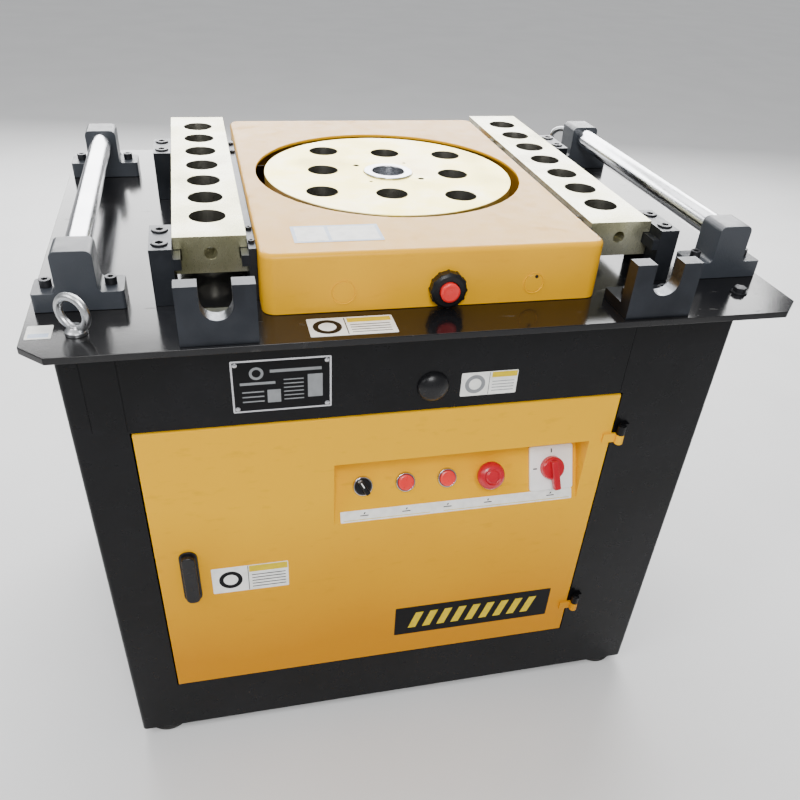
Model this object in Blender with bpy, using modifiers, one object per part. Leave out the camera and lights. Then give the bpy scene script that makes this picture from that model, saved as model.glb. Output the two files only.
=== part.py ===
"""Rebar bending machine: a steel cabinet and table with a geared bending disc, hole bars and rollers."""
import math

import bmesh
import bpy
from mathutils import Matrix, Vector

# All sizes in metres. +X is the machine's right, +Y its back, +Z up, and the floor is at Z = 0.
GAP = 0.0003

# Cabinet and table.
TABLE_TOP = 0.735
TABLE_HALF_WIDTH = 0.465
TABLE_HALF_DEPTH = 0.367
TABLE_THICKNESS = 0.008
TABLE_CHAMFER = 0.028
SHEET = 0.0025
CABINET_LEFT = -0.440
CABINET_RIGHT = 0.410
CABINET_FRONT = -0.312
CABINET_BACK = 0.318
FOOT_HEIGHT = 0.015
FOOT_RADIUS = 0.034
FOOT_INSET_X = 0.040
FOOT_INSET_Y = 0.035
PAN_THICKNESS = 0.005
CAP_Z = TABLE_TOP - 0.104
EYE_BOLTS = {"front_left": (-0.4075, -0.3160), "rear_right": (0.4075, 0.3160)}
EYE_TURN = math.radians(-34)
EYE_RING_RADIUS = 0.0180
EYE_RING_WIRE = 0.0047
EYE_RING_HEIGHT = 0.0245
VENT_ROWS = 6
VENT_PITCH = 0.028
VENT_LOW = 0.42

# Bending disc and what drives it.
DISC_CENTRE_Y = -0.010
DISC_RADIUS = 0.175
DISC_TOP = TABLE_TOP + 0.070
DISC_THICKNESS = 0.030
PIN_HOLE_PITCH = 0.0928
PIN_HOLE_RADIUS = 0.0215
DISC_TURN = math.radians(-9.1)
BUSH_RADIUS = 0.0345
BUSH_BORE = 0.023
# Bearing in degrees, distance from the centre and radius of the disc's fixing and jacking holes.
SCREW_HOLES = ((150, 0.0520, 0.0045), (-30, 0.0520, 0.0045), (60, 0.0520, 0.0025), (-120, 0.0520, 0.0025))
SHAFT_RADIUS = 0.032
BEARING_SEGMENTS = 24
HUB_RADIUS = 0.045
BEARING_HOLE = 0.065
WHEEL_Z = 0.620
WHEEL_RADIUS = 0.110
WHEEL_TEETH = 40
WORM_RADIUS = 0.030
WORM_Y = DISC_CENTRE_Y + WHEEL_RADIUS + WORM_RADIUS + 0.0008
WORM_SHAFT_RADIUS = 0.015
PULLEY_X = -0.310
PULLEY_HALF_WIDTH = 0.014
DRIVEN_PULLEY_RADIUS = 0.090
MOTOR_PULLEY_RADIUS = 0.045
BELT_RADIUS = 0.006
MOTOR_Z = 0.235
MOTOR_RADIUS = 0.090

# Yellow cover round the disc.
COVER_HALF_WIDTH = 0.207
COVER_FRONT = -0.300
COVER_BACK = 0.269
COVER_HEIGHT = 0.072
COVER_WALL = 0.004
COVER_OPENING = 0.187
BUTTON_X = 0.0095
BUTTON_Z = TABLE_TOP + 0.0245

# Hole bars, their clamps and cradles, mirrored left and right.
BAR_INNER = 0.2165
BAR_OUTER = 0.3002
BAR_CENTRE = (BAR_INNER + BAR_OUTER) / 2
BAR_FRONT = -0.232
BAR_LENGTH = 0.530
BAR_BOTTOM = TABLE_TOP + 0.026
BAR_TOP = TABLE_TOP + 0.070
BAR_HOLES = 7
BAR_HOLE_RADIUS = 0.022
BAR_HOLE_PITCH = 0.0677
BAR_FIRST_HOLE = 0.066
BAR_GROOVE_DEPTH = 0.009
BAR_GROOVE_LOW = TABLE_TOP + 0.0417
BAR_GROOVE_HIGH = TABLE_TOP + 0.0558
CLAMP_TOP = TABLE_TOP + 0.067
CLAMP_OUTER = 0.326
CLAMP_LENGTH = 0.077
CLAMP_FRONTS = {"front": -0.260, "rear": 0.106}
CLAMP_SCREW_SPACING = 0.041
CRADLE_FRONT = -0.362
CRADLE_THICKNESS = 0.020
CRADLE_TOP = TABLE_TOP + 0.068
CRADLE_FOOT_TOP = TABLE_TOP + 0.014
CRADLE_FOOT_LENGTH = 0.042
CRADLE_SLOT_RADIUS = 0.0175
CRADLE_SLOT_Z = TABLE_TOP + 0.0465

# Rollers and their brackets.
ROLLER_X = 0.4075
ROLLER_Z = TABLE_TOP + 0.052
ROLLER_RADIUS = 0.015
JOURNAL_RADIUS = 0.008
BRACKET_INNER_Y = 0.217
BRACKET_DEPTH = 0.045
BRACKET_BASE_HALF = 0.050
BRACKET_HALF = 0.0225
BRACKET_TOP = TABLE_TOP + 0.070
BRACKET_BASE_HEIGHT = 0.022

# Door, its controls and its latch.
DOOR_LEFT = -0.372
DOOR_RIGHT = 0.270
DOOR_LOW = TABLE_TOP - 0.617
DOOR_HIGH = TABLE_TOP - 0.140
DOOR_FRONT = CABINET_FRONT - 0.002
DOOR_DEPTH = 0.016
DOOR_SHEET = 0.002
DOOR_CLEARANCE = 0.002
HINGE_X = 0.2795
HINGE_Y = -0.3205
HINGE_HEIGHTS = {"upper": TABLE_TOP - 0.202, "lower": TABLE_TOP - 0.546}
RECESS_LEFT = -0.1265
RECESS_RIGHT = 0.238
RECESS_LOW = TABLE_TOP - 0.318
RECESS_HIGH = TABLE_TOP - 0.214
PANEL_TILT = math.radians(25)
CONTROL_SLOPE = 0.052
CONTROL_XS = {"selector": -0.083, "forward": -0.022, "reverse": 0.039, "estop": 0.100, "isolator": 0.197}
BARREL_RADIUS = 0.011
BEZEL = 0.0145
BLOCK_HALF = 0.014
PLUNGER_DEPTH = 0.018
RECESS_WALL = 0.0018
PLATE_HALF = 0.0335
LATCH_X = -0.329
LATCH_PIVOT_Z = TABLE_TOP - 0.352

for old in list(bpy.data.objects):
    bpy.data.objects.remove(old, do_unlink=True)


def new_collection(name):
    collection = bpy.data.collections.new(name)
    bpy.context.scene.collection.children.link(collection)
    return collection


PARTS = new_collection("rebar_bender")
CUTTERS = new_collection("cutters")


def material(name, colour, roughness, metallic):
    made = bpy.data.materials.new(name)
    made.use_nodes = True
    shader = made.node_tree.nodes["Principled BSDF"]
    shader.inputs["Base Color"].default_value = (*colour, 1.0)
    shader.inputs["Roughness"].default_value = roughness
    shader.inputs["Metallic"].default_value = metallic
    return made


BLACK_PAINT = material("black_paint", (0.012, 0.012, 0.014), 0.25, 0.0)
YELLOW_PAINT = material("yellow_paint", (0.80, 0.42, 0.07), 0.40, 0.0)
CAST_BLACK = material("cast_black", (0.016, 0.018, 0.022), 0.45, 0.3)
ZINC_YELLOW = material("zinc_yellow", (0.72, 0.68, 0.42), 0.35, 0.9)
BRIGHT_STEEL = material("bright_steel", (0.70, 0.71, 0.73), 0.22, 1.0)
CAST_IRON = material("cast_iron", (0.10, 0.13, 0.11), 0.60, 0.4)
BRONZE = material("bronze", (0.60, 0.36, 0.12), 0.35, 1.0)
MOTOR_GREY = material("motor_grey", (0.22, 0.25, 0.28), 0.45, 0.1)
RUBBER = material("rubber", (0.02, 0.02, 0.02), 0.80, 0.0)
BLACK_PLASTIC = material("black_plastic", (0.02, 0.02, 0.02), 0.35, 0.0)
RED_PLASTIC = material("red_plastic", (0.65, 0.05, 0.03), 0.30, 0.0)
WHITE_PLASTIC = material("white_plastic", (0.80, 0.80, 0.78), 0.40, 0.0)
CHROME = material("chrome", (0.75, 0.75, 0.77), 0.12, 1.0)


def add_object(name, bm, mat, origin=(0, 0, 0)):
    """Link a finished bmesh, given in world coordinates, as an object with its origin at a chosen point."""
    bmesh.ops.translate(bm, verts=bm.verts, vec=-Vector(origin))
    bmesh.ops.recalc_face_normals(bm, faces=bm.faces)
    mesh = bpy.data.meshes.new(name)
    bm.to_mesh(mesh)
    bm.free()
    mesh.materials.append(mat)
    obj = bpy.data.objects.new(name, mesh)
    obj.location = origin
    PARTS.objects.link(obj)
    mesh.shade_smooth()
    mesh.set_sharp_from_angle(angle=math.radians(35))
    return obj


def box_mesh(low, high):
    bm = bmesh.new()
    bmesh.ops.create_cube(bm, size=1.0)
    low, high = Vector(low), Vector(high)
    bmesh.ops.scale(bm, verts=bm.verts, vec=high - low)
    bmesh.ops.translate(bm, verts=bm.verts, vec=(low + high) / 2)
    return bm


def box(name, low, high, mat, origin=(0, 0, 0)):
    return add_object(name, box_mesh(low, high), mat, origin)


def rod_mesh(radius, start, end, segments):
    bm = bmesh.new()
    start, end = Vector(start), Vector(end)
    bmesh.ops.create_cone(bm, cap_ends=True, segments=segments, radius1=radius, radius2=radius,
                          depth=(end - start).length)
    turn = Vector((0, 0, 1)).rotation_difference(end - start).to_matrix()
    bmesh.ops.rotate(bm, verts=bm.verts, matrix=turn)
    bmesh.ops.translate(bm, verts=bm.verts, vec=(start + end) / 2)
    return bm


def rod(name, radius, start, end, mat, segments=16, origin=(0, 0, 0)):
    return add_object(name, rod_mesh(radius, start, end, segments), mat, origin)


def turned(name, profile, centre, axis, mat, steps=20):
    """Turn a profile of (radius, height) points, listed down its outer side, about an axis through centre."""
    bm = bmesh.new()
    points = [bm.verts.new((radius, 0, height)) for radius, height in profile]
    for first, second in zip(points, points[1:]):
        bm.edges.new((first, second))
    if profile[0][0] > 0:
        bm.edges.new((points[-1], points[0]))
    mesh = bpy.data.meshes.new(name)
    bm.to_mesh(mesh)
    bm.free()
    mesh.materials.append(mat)
    obj = bpy.data.objects.new(name, mesh)
    obj.location = centre
    obj.rotation_euler = Vector((0, 0, 1)).rotation_difference(Vector(axis)).to_euler()
    PARTS.objects.link(obj)
    screw = obj.modifiers.new("turn", "SCREW")
    screw.axis = "Z"
    screw.steps = steps
    screw.render_steps = steps
    screw.use_merge_vertices = True
    screw.merge_threshold = 0.00001
    screw.use_smooth_shade = True
    return obj


def ring(name, outer, inner, low, high, centre, axis, mat, steps=24):
    profile = [(inner, high), (outer, high), (outer, low), (inner, low)]
    return turned(name, profile, centre, axis, mat, steps)


def combine(target, tool, operation):
    PARTS.objects.unlink(tool)
    CUTTERS.objects.link(tool)
    tool.hide_render = True
    tool.display_type = "WIRE"
    boolean = target.modifiers.new(operation.lower(), "BOOLEAN")
    boolean.operation = operation
    boolean.object = tool


def cut(target, tool):
    combine(target, tool, "DIFFERENCE")


def join(target, tool):
    combine(target, tool, "UNION")


def bevel_edges(bm, chosen, width, segments):
    bmesh.ops.bevel(bm, geom=chosen, offset=width, offset_type="OFFSET", segments=segments,
                    profile=0.5, affect="EDGES", material=-1)


def upright_edges(bm):
    return [edge for edge in bm.edges if abs((edge.verts[0].co - edge.verts[1].co).normalized().z) > 0.99]


# ---------------------------------------------------------------- cabinet, table and feet

def make_cabinet():
    low = (CABINET_LEFT, CABINET_FRONT, FOOT_HEIGHT)
    high = (CABINET_RIGHT, CABINET_BACK, TABLE_TOP - TABLE_THICKNESS - GAP)
    shell = box_mesh(low, high)
    bevel_edges(shell, upright_edges(shell), 0.006, 2)
    cabinet = add_object("cabinet_shell", shell, BLACK_PAINT)
    inside_low = Vector(low) + Vector((SHEET, SHEET, -0.01))
    inside_high = Vector(high) + Vector((-SHEET, -SHEET, 0.01))
    cut(cabinet, box("cabinet_inside", inside_low, inside_high, BLACK_PAINT))
    opening_low = (DOOR_LEFT - DOOR_CLEARANCE, CABINET_FRONT - 0.02, DOOR_LOW - DOOR_CLEARANCE)
    opening_high = (DOOR_RIGHT + DOOR_CLEARANCE, CABINET_FRONT + 0.02, DOOR_HIGH + DOOR_CLEARANCE)
    cut(cabinet, box("door_opening", opening_low, opening_high, BLACK_PAINT))
    cut(cabinet, rod("cap_hole", 0.0145, (0, CABINET_FRONT - 0.02, CAP_Z), (0, CABINET_FRONT + 0.02, CAP_Z),
                     BLACK_PAINT, 16))
    for side, x in (("left", CABINET_LEFT), ("right", CABINET_RIGHT)):
        for row in range(VENT_ROWS):
            z = VENT_LOW + row * VENT_PITCH
            slot = box(f"vent_{side}_{row}", (x - 0.02, -0.09, z), (x + 0.02, 0.09, z + 0.008), BLACK_PAINT)
            cut(cabinet, slot)


def make_base():
    inset = SHEET + GAP
    low = (CABINET_LEFT + inset, CABINET_FRONT + inset, FOOT_HEIGHT + GAP)
    high = (CABINET_RIGHT - inset, CABINET_BACK - inset, FOOT_HEIGHT + GAP + PAN_THICKNESS)
    box("base_pan", low, high, BLACK_PAINT)
    profile = [(0, FOOT_HEIGHT), (FOOT_RADIUS - 0.002, FOOT_HEIGHT), (FOOT_RADIUS, FOOT_HEIGHT - 0.002),
               (FOOT_RADIUS, 0.004), (FOOT_RADIUS - 0.003, 0), (0, 0)]
    for side, x in (("left", CABINET_LEFT + FOOT_INSET_X), ("right", CABINET_RIGHT - FOOT_INSET_X)):
        for end, y in (("front", CABINET_FRONT + FOOT_INSET_Y), ("rear", CABINET_BACK - FOOT_INSET_Y)):
            turned(f"foot_{end}_{side}", profile, (x, y, 0), (0, 0, 1), RUBBER, 20)


def make_table():
    plate = box_mesh((-TABLE_HALF_WIDTH, -TABLE_HALF_DEPTH, TABLE_TOP - TABLE_THICKNESS),
                     (TABLE_HALF_WIDTH, TABLE_HALF_DEPTH, TABLE_TOP))
    bevel_edges(plate, upright_edges(plate), TABLE_CHAMFER, 1)
    table = add_object("table_plate", plate, BLACK_PAINT)
    centre_low = (0, DISC_CENTRE_Y, TABLE_TOP - 0.03)
    centre_high = (0, DISC_CENTRE_Y, TABLE_TOP + 0.03)
    cut(table, rod("table_hole", BEARING_HOLE, centre_low, centre_high, BLACK_PAINT, 24))


def make_header_cap():
    """Round-headed plug that closes a spare cable hole above the door."""
    dome = 0.021
    profile = [(0, 0.012)]
    for step in range(1, 6):
        angle = math.radians(90 - 15 * step)
        profile.append((dome * math.cos(angle), 0.012 * math.sin(angle)))
    profile += [(dome, GAP), (0.0138, GAP), (0.0138, -0.010), (0, -0.010)]
    turned("header_cap", profile, (0, CABINET_FRONT, CAP_Z), (0, -1, 0), BLACK_PLASTIC, 16)


def eye_bolt(name, x, y, turn):
    """Lifting eye: a forged ring on a round collar."""
    base = TABLE_TOP + GAP
    profile = [(0, 0.0085), (0.0075, 0.0085), (0.0120, 0.0040), (0.0120, 0), (0, 0)]
    collar = turned(name, profile, (x, y, base), (0, 0, 1), CHROME, 16)
    bpy.ops.mesh.primitive_torus_add(location=(x, y, base + EYE_RING_HEIGHT), rotation=(math.pi / 2, 0, turn),
                                     major_radius=EYE_RING_RADIUS, minor_radius=EYE_RING_WIRE,
                                     major_segments=20, minor_segments=8)
    eye = bpy.context.object
    eye.name = name + "_ring"
    for collection in list(eye.users_collection):
        collection.objects.unlink(eye)
    PARTS.objects.link(eye)
    join(collar, eye)


# ---------------------------------------------------------------- yellow cover and its stop button

def make_cover():
    low = Vector((-COVER_HALF_WIDTH, COVER_FRONT, TABLE_TOP + GAP))
    high = Vector((COVER_HALF_WIDTH, COVER_BACK, TABLE_TOP + COVER_HEIGHT))
    outer = box_mesh(low, high)
    bevel_edges(outer, upright_edges(outer), 0.016, 4)
    top_edges = [edge for edge in outer.edges if min(vert.co.z for vert in edge.verts) > high.z - 0.0001]
    bevel_edges(outer, top_edges, 0.006, 3)
    cover = add_object("gearbox_cover", outer, YELLOW_PAINT)
    wall = Vector((COVER_WALL, COVER_WALL, 0))
    inner = box_mesh(low + wall - Vector((0, 0, 0.02)), high - wall - Vector((0, 0, COVER_WALL)))
    bevel_edges(inner, upright_edges(inner), 0.012, 3)
    cut(cover, add_object("cover_inside", inner, YELLOW_PAINT))
    cut(cover, rod("cover_opening", COVER_OPENING, (0, DISC_CENTRE_Y, high.z - 0.02),
                   (0, DISC_CENTRE_Y, high.z + 0.02), YELLOW_PAINT, 48))
    cut(cover, rod("button_hole", 0.0146, (BUTTON_X, COVER_FRONT - 0.02, BUTTON_Z),
                   (BUTTON_X, COVER_FRONT + 0.02, BUTTON_Z), YELLOW_PAINT, 16))


def make_cover_button():
    """Panel collar with a push button on the cover's front."""
    face = (BUTTON_X, COVER_FRONT, BUTTON_Z)
    profile = [(0.0125, 0.013), (0.0195, 0.013), (0.0220, 0.010), (0.0220, GAP), (0.0140, GAP),
               (0.0140, -0.022), (0.0045, -0.022), (0.0045, 0.002), (0.0125, 0.002)]
    turned("cover_button_collar", profile, face, (0, -1, 0), BLACK_PLASTIC, 20)
    cap = [(0, 0.018), (0.0095, 0.018), (0.0118, 0.0160), (0.0118, 0.007), (0.0040, 0.007),
           (0.0040, -0.010), (0, -0.010)]
    turned("cover_button_cap", cap, face, (0, -1, 0), RED_PLASTIC, 16)


# ---------------------------------------------------------------- disc and drive

def pin_hole_places():
    """Eight places of a square 3 x 3 pattern round the disc's centre, turned with the disc."""
    for column in (-1, 0, 1):
        for row in (-1, 0, 1):
            if column or row:
                x = PIN_HOLE_PITCH * (column * math.cos(DISC_TURN) - row * math.sin(DISC_TURN))
                y = PIN_HOLE_PITCH * (column * math.sin(DISC_TURN) + row * math.cos(DISC_TURN))
                yield x, DISC_CENTRE_Y + y


def make_disc():
    low = DISC_TOP - DISC_THICKNESS
    profile = [(BUSH_RADIUS + GAP, DISC_THICKNESS), (DISC_RADIUS - 0.0015, DISC_THICKNESS),
               (DISC_RADIUS, DISC_THICKNESS - 0.0015), (DISC_RADIUS, 0), (BUSH_RADIUS + GAP, 0)]
    disc = turned("working_disc", profile, (0, DISC_CENTRE_Y, low), (0, 0, 1), ZINC_YELLOW, 48)
    for number, (x, y) in enumerate(pin_hole_places()):
        hole = rod(f"pin_hole_{number}", PIN_HOLE_RADIUS, (x, y, low - 0.02), (x, y, DISC_TOP + 0.02),
                   ZINC_YELLOW, 16)
        cut(disc, hole)
    for number, (bearing, distance, radius) in enumerate(SCREW_HOLES):
        angle = DISC_TURN + math.radians(bearing)
        x = distance * math.cos(angle)
        y = DISC_CENTRE_Y + distance * math.sin(angle)
        hole = rod(f"screw_hole_{number}", radius, (x, y, low - 0.02), (x, y, DISC_TOP + 0.02),
                   ZINC_YELLOW, 8)
        cut(disc, hole)
    ring("centre_bush", BUSH_RADIUS, BUSH_BORE, GAP, DISC_THICKNESS + 0.002,
         (0, DISC_CENTRE_Y, low), (0, 0, 1), BRIGHT_STEEL, 24)


def make_main_shaft():
    top = DISC_TOP - DISC_THICKNESS - GAP
    flange = 0.060
    profile = [(0, top), (flange, top), (flange, top - 0.012), (HUB_RADIUS, top - 0.012),
               (HUB_RADIUS, 0.690), (SHAFT_RADIUS, 0.690), (SHAFT_RADIUS, 0.548), (0, 0.548)]
    turned("main_shaft", profile, (0, DISC_CENTRE_Y, 0), (0, 0, 1), BRIGHT_STEEL, BEARING_SEGMENTS)


def make_worm_wheel():
    half = 0.020
    bm = bmesh.new()
    points = []
    for tooth in range(WHEEL_TEETH):
        for offset, radius in ((0.0, WHEEL_RADIUS - 0.008), (0.35, WHEEL_RADIUS), (0.70, WHEEL_RADIUS)):
            angle = 2 * math.pi * (tooth + offset) / WHEEL_TEETH
            points.append(bm.verts.new((radius * math.cos(angle), radius * math.sin(angle), -half)))
    face = bm.faces.new(points)
    grown = bmesh.ops.extrude_face_region(bm, geom=[face])
    moved = [item for item in grown["geom"] if isinstance(item, bmesh.types.BMVert)]
    bmesh.ops.translate(bm, verts=moved, vec=(0, 0, 2 * half))
    centre = Vector((0, DISC_CENTRE_Y, WHEEL_Z))
    bmesh.ops.translate(bm, verts=bm.verts, vec=centre)
    wheel = add_object("worm_wheel", bm, BRONZE, centre)
    reach = Vector((0, 0, 0.05))
    bore = rod("wheel_bore", SHAFT_RADIUS + GAP, centre - reach, centre + reach, BRONZE, BEARING_SEGMENTS)
    cut(wheel, bore)


def make_worm():
    """Worm shaft along X: threads turned as rings between two journals."""
    profile = [(0, 0.128), (WORM_SHAFT_RADIUS, 0.128), (WORM_SHAFT_RADIUS, 0.062)]
    pitch = 0.0240
    for thread in range(5):
        start = 0.060 - thread * pitch
        profile += [(WORM_RADIUS - 0.009, start), (WORM_RADIUS, start - 0.005), (WORM_RADIUS, start - 0.009),
                    (WORM_RADIUS - 0.009, start - 0.014)]
    profile += [(WORM_SHAFT_RADIUS, -0.062), (WORM_SHAFT_RADIUS, PULLEY_X - 0.020), (0, PULLEY_X - 0.020)]
    turned("worm_shaft", profile, (0, WORM_Y, WHEEL_Z), (1, 0, 0), BRIGHT_STEEL, 14)


def running_bore(radius):
    """Radius of a faceted bore in which a faceted shaft of this radius turns freely."""
    return radius / math.cos(math.pi / BEARING_SEGMENTS) + GAP


def make_gearbox():
    low = Vector((-0.130, DISC_CENTRE_Y - 0.130, 0.545))
    high = Vector((0.130, WORM_Y + 0.048, TABLE_TOP - TABLE_THICKNESS - GAP))
    shell = box_mesh(low, high)
    bevel_edges(shell, upright_edges(shell), 0.030, 3)
    housing = add_object("gearbox_housing", shell, CAST_IRON)
    inner = box_mesh(low + Vector((0.010, 0.010, 0.020)), high + Vector((-0.010, -0.010, 0.02)))
    bevel_edges(inner, upright_edges(inner), 0.022, 3)
    cut(housing, add_object("gearbox_inside", inner, CAST_IRON))
    cut(housing, rod("lower_bore", 0.0503, (0, DISC_CENTRE_Y, 0.50), (0, DISC_CENTRE_Y, 0.58), CAST_IRON, 24))
    cut(housing, rod("worm_bore", 0.0160, (-0.20, WORM_Y, WHEEL_Z), (0.20, WORM_Y, WHEEL_Z), CAST_IRON, 12))
    ring("lower_bearing", 0.050, running_bore(SHAFT_RADIUS), 0.5460, 0.5640, (0, DISC_CENTRE_Y, 0), (0, 0, 1),
         BRIGHT_STEEL, BEARING_SEGMENTS)
    ring("upper_bearing", BEARING_HOLE - GAP, running_bore(HUB_RADIUS), 0.7030, TABLE_TOP - 0.001,
         (0, DISC_CENTRE_Y, 0), (0, 0, 1), BRIGHT_STEEL, BEARING_SEGMENTS)


def pulley(name, radius, bore, centre, extra):
    """V pulley about X with a groove for the belt; extra is the profile that closes it at the axis."""
    half = PULLEY_HALF_WIDTH
    profile = [(radius, half), (radius, 0.0095), (radius - 0.014, 0.005), (radius - 0.014, -0.005),
               (radius, -0.0095), (radius, -half)]
    return turned(name, bore + profile + extra, centre, (1, 0, 0), BRIGHT_STEEL, 24)


def make_belt_drive():
    half = PULLEY_HALF_WIDTH
    bore = WORM_SHAFT_RADIUS + GAP
    pulley("driven_pulley", DRIVEN_PULLEY_RADIUS, [(bore, half)], (PULLEY_X, WORM_Y, WHEEL_Z),
           [(bore, -half)])
    shaft = 0.012
    reach = -PULLEY_X - 0.200
    pulley("motor_pulley", MOTOR_PULLEY_RADIUS, [(0, reach), (shaft, reach), (shaft, half)],
           (PULLEY_X, WORM_Y, MOTOR_Z), [(0, -half)])
    make_belt()


def make_belt():
    """Closed belt round both pulleys: two arcs joined by straight runs."""
    large = DRIVEN_PULLEY_RADIUS - 0.014 + BELT_RADIUS + GAP + 0.0035
    small = MOTOR_PULLEY_RADIUS - 0.014 + BELT_RADIUS + GAP + 0.0035
    lean = math.asin((large - small) / (WHEEL_Z - MOTOR_Z))
    points = []
    for step in range(15):
        angle = -lean + (math.pi + 2 * lean) * step / 14
        points.append((large * math.cos(angle), WHEEL_Z + large * math.sin(angle)))
    for step in range(11):
        angle = math.pi + lean + (math.pi - 2 * lean) * step / 10
        points.append((small * math.cos(angle), MOTOR_Z + small * math.sin(angle)))
    curve = bpy.data.curves.new("drive_belt", "CURVE")
    curve.dimensions = "3D"
    curve.bevel_depth = BELT_RADIUS
    curve.bevel_resolution = 1
    spline = curve.splines.new("POLY")
    spline.points.add(len(points) - 1)
    for point, (y, z) in zip(spline.points, points):
        point.co = (PULLEY_X, WORM_Y + y, z, 1)
    spline.use_cyclic_u = True
    curve.materials.append(RUBBER)
    belt = bpy.data.objects.new("drive_belt", curve)
    PARTS.objects.link(belt)


def make_motor():
    low_x, high_x = -0.195, 0.075
    start = (low_x, WORM_Y, MOTOR_Z)
    body = rod("motor_body", MOTOR_RADIUS, start, (high_x, WORM_Y, MOTOR_Z), MOTOR_GREY, 24)
    foot_low = (low_x + 0.030, WORM_Y - 0.075, MOTOR_Z - MOTOR_RADIUS - 0.012)
    foot_high = (high_x - 0.070, WORM_Y + 0.075, MOTOR_Z - MOTOR_RADIUS + 0.030)
    join(body, box("motor_foot", foot_low, foot_high, MOTOR_GREY))
    join(body, box("terminal_box", (-0.120, WORM_Y - 0.045, MOTOR_Z + 0.070),
                   (-0.010, WORM_Y + 0.045, MOTOR_Z + 0.128), MOTOR_GREY))
    cut(body, rod("motor_bore", 0.0132, (low_x - 0.02, WORM_Y, MOTOR_Z), (low_x + 0.04, WORM_Y, MOTOR_Z),
                  MOTOR_GREY, 12))
    top = foot_low[2] - GAP
    floor = FOOT_HEIGHT + PAN_THICKNESS + 2 * GAP
    mount = box("motor_mount", (-0.200, WORM_Y - 0.100, floor), (0.040, WORM_Y + 0.100, top), BLACK_PAINT)
    cut(mount, box("mount_hollow", (-0.30, WORM_Y - 0.094, floor - 0.02), (0.14, WORM_Y + 0.094, top - 0.006),
                   BLACK_PAINT))


def make_electrical_box():
    box("electrical_box", (0.160, CABINET_BACK - SHEET - 0.105, 0.300),
        (0.350, CABINET_BACK - SHEET - 0.002, 0.560), MOTOR_GREY)


# ---------------------------------------------------------------- hole bars, clamps and cradles

def span(side, inner, outer):
    """Low and high X of something between two distances from the middle, on the left (-1) or right (1)."""
    return (inner, outer) if side > 0 else (-outer, -inner)


def make_bar(label, side):
    low_x, high_x = span(side, BAR_INNER, BAR_OUTER)
    back = BAR_FRONT + BAR_LENGTH
    centre = side * BAR_CENTRE
    origin = (centre, BAR_FRONT, BAR_BOTTOM)
    blank = box_mesh((low_x, BAR_FRONT, BAR_BOTTOM), (high_x, back, BAR_TOP))
    bar = add_object(f"{label}_hole_bar", blank, ZINC_YELLOW, origin)
    for name, x in (("low", low_x), ("high", high_x)):
        groove = box(f"{label}_groove_{name}", (x - BAR_GROOVE_DEPTH, BAR_FRONT - 0.02, BAR_GROOVE_LOW),
                     (x + BAR_GROOVE_DEPTH, back + 0.02, BAR_GROOVE_HIGH), ZINC_YELLOW)
        cut(bar, groove)
    for number in range(BAR_HOLES):
        y = BAR_FRONT + BAR_FIRST_HOLE + number * BAR_HOLE_PITCH
        hole = rod(f"{label}_bar_hole_{number}", BAR_HOLE_RADIUS, (centre, y, BAR_BOTTOM - 0.02),
                   (centre, y, BAR_TOP + 0.02), ZINC_YELLOW, 16)
        cut(bar, hole)
    screw_hole = rod(f"{label}_end_hole", 0.0075, (centre, BAR_FRONT - 0.02, TABLE_TOP + 0.050),
                     (centre, BAR_FRONT + 0.032, TABLE_TOP + 0.050), ZINC_YELLOW, 12)
    cut(bar, screw_hole)


def make_clamps(label, side):
    """Outer clamp blocks and the inner guide strip, whose tongues run in the bar's grooves."""
    tongue_low = BAR_GROOVE_LOW + 0.0005
    tongue_high = BAR_GROOVE_HIGH - 0.0005
    tongue = BAR_GROOVE_DEPTH - 0.001
    block_x = span(side, BAR_OUTER + 0.0005, CLAMP_OUTER)
    tongue_x = span(side, BAR_OUTER - tongue, BAR_OUTER + 0.010)
    for end, front in CLAMP_FRONTS.items():
        back = front + CLAMP_LENGTH
        block = box(f"{label}_{end}_clamp", (block_x[0], front, TABLE_TOP + GAP),
                    (block_x[1], back, CLAMP_TOP), CAST_BLACK)
        join(block, box(f"{label}_{end}_tongue", (tongue_x[0], front + 0.0002, tongue_low),
                        (tongue_x[1], back - 0.0002, tongue_high), CAST_BLACK))
        for number in (-1, 1):
            y = (front + back) / 2 + number * CLAMP_SCREW_SPACING / 2
            x = side * (BAR_OUTER + 0.0137)
            cut(block, rod(f"{label}_{end}_sink_{number}", 0.0098, (x, y, CLAMP_TOP - 0.010),
                           (x, y, CLAMP_TOP + 0.02), CAST_BLACK, 12))
    front = CLAMP_FRONTS["front"] + 0.004
    back = CLAMP_FRONTS["rear"] + CLAMP_LENGTH
    strip_x = span(side, COVER_HALF_WIDTH + 0.0005, BAR_INNER - 0.0005)
    guide = box(f"{label}_inner_guide", (strip_x[0], front, TABLE_TOP + GAP),
                (strip_x[1], back, CLAMP_TOP - 0.004), CAST_BLACK)
    rail_x = span(side, BAR_INNER - 0.004, BAR_INNER + tongue)
    join(guide, box(f"{label}_inner_tongue", (rail_x[0], front + 0.0002, tongue_low),
                    (rail_x[1], back - 0.0002, tongue_high), CAST_BLACK))


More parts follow.
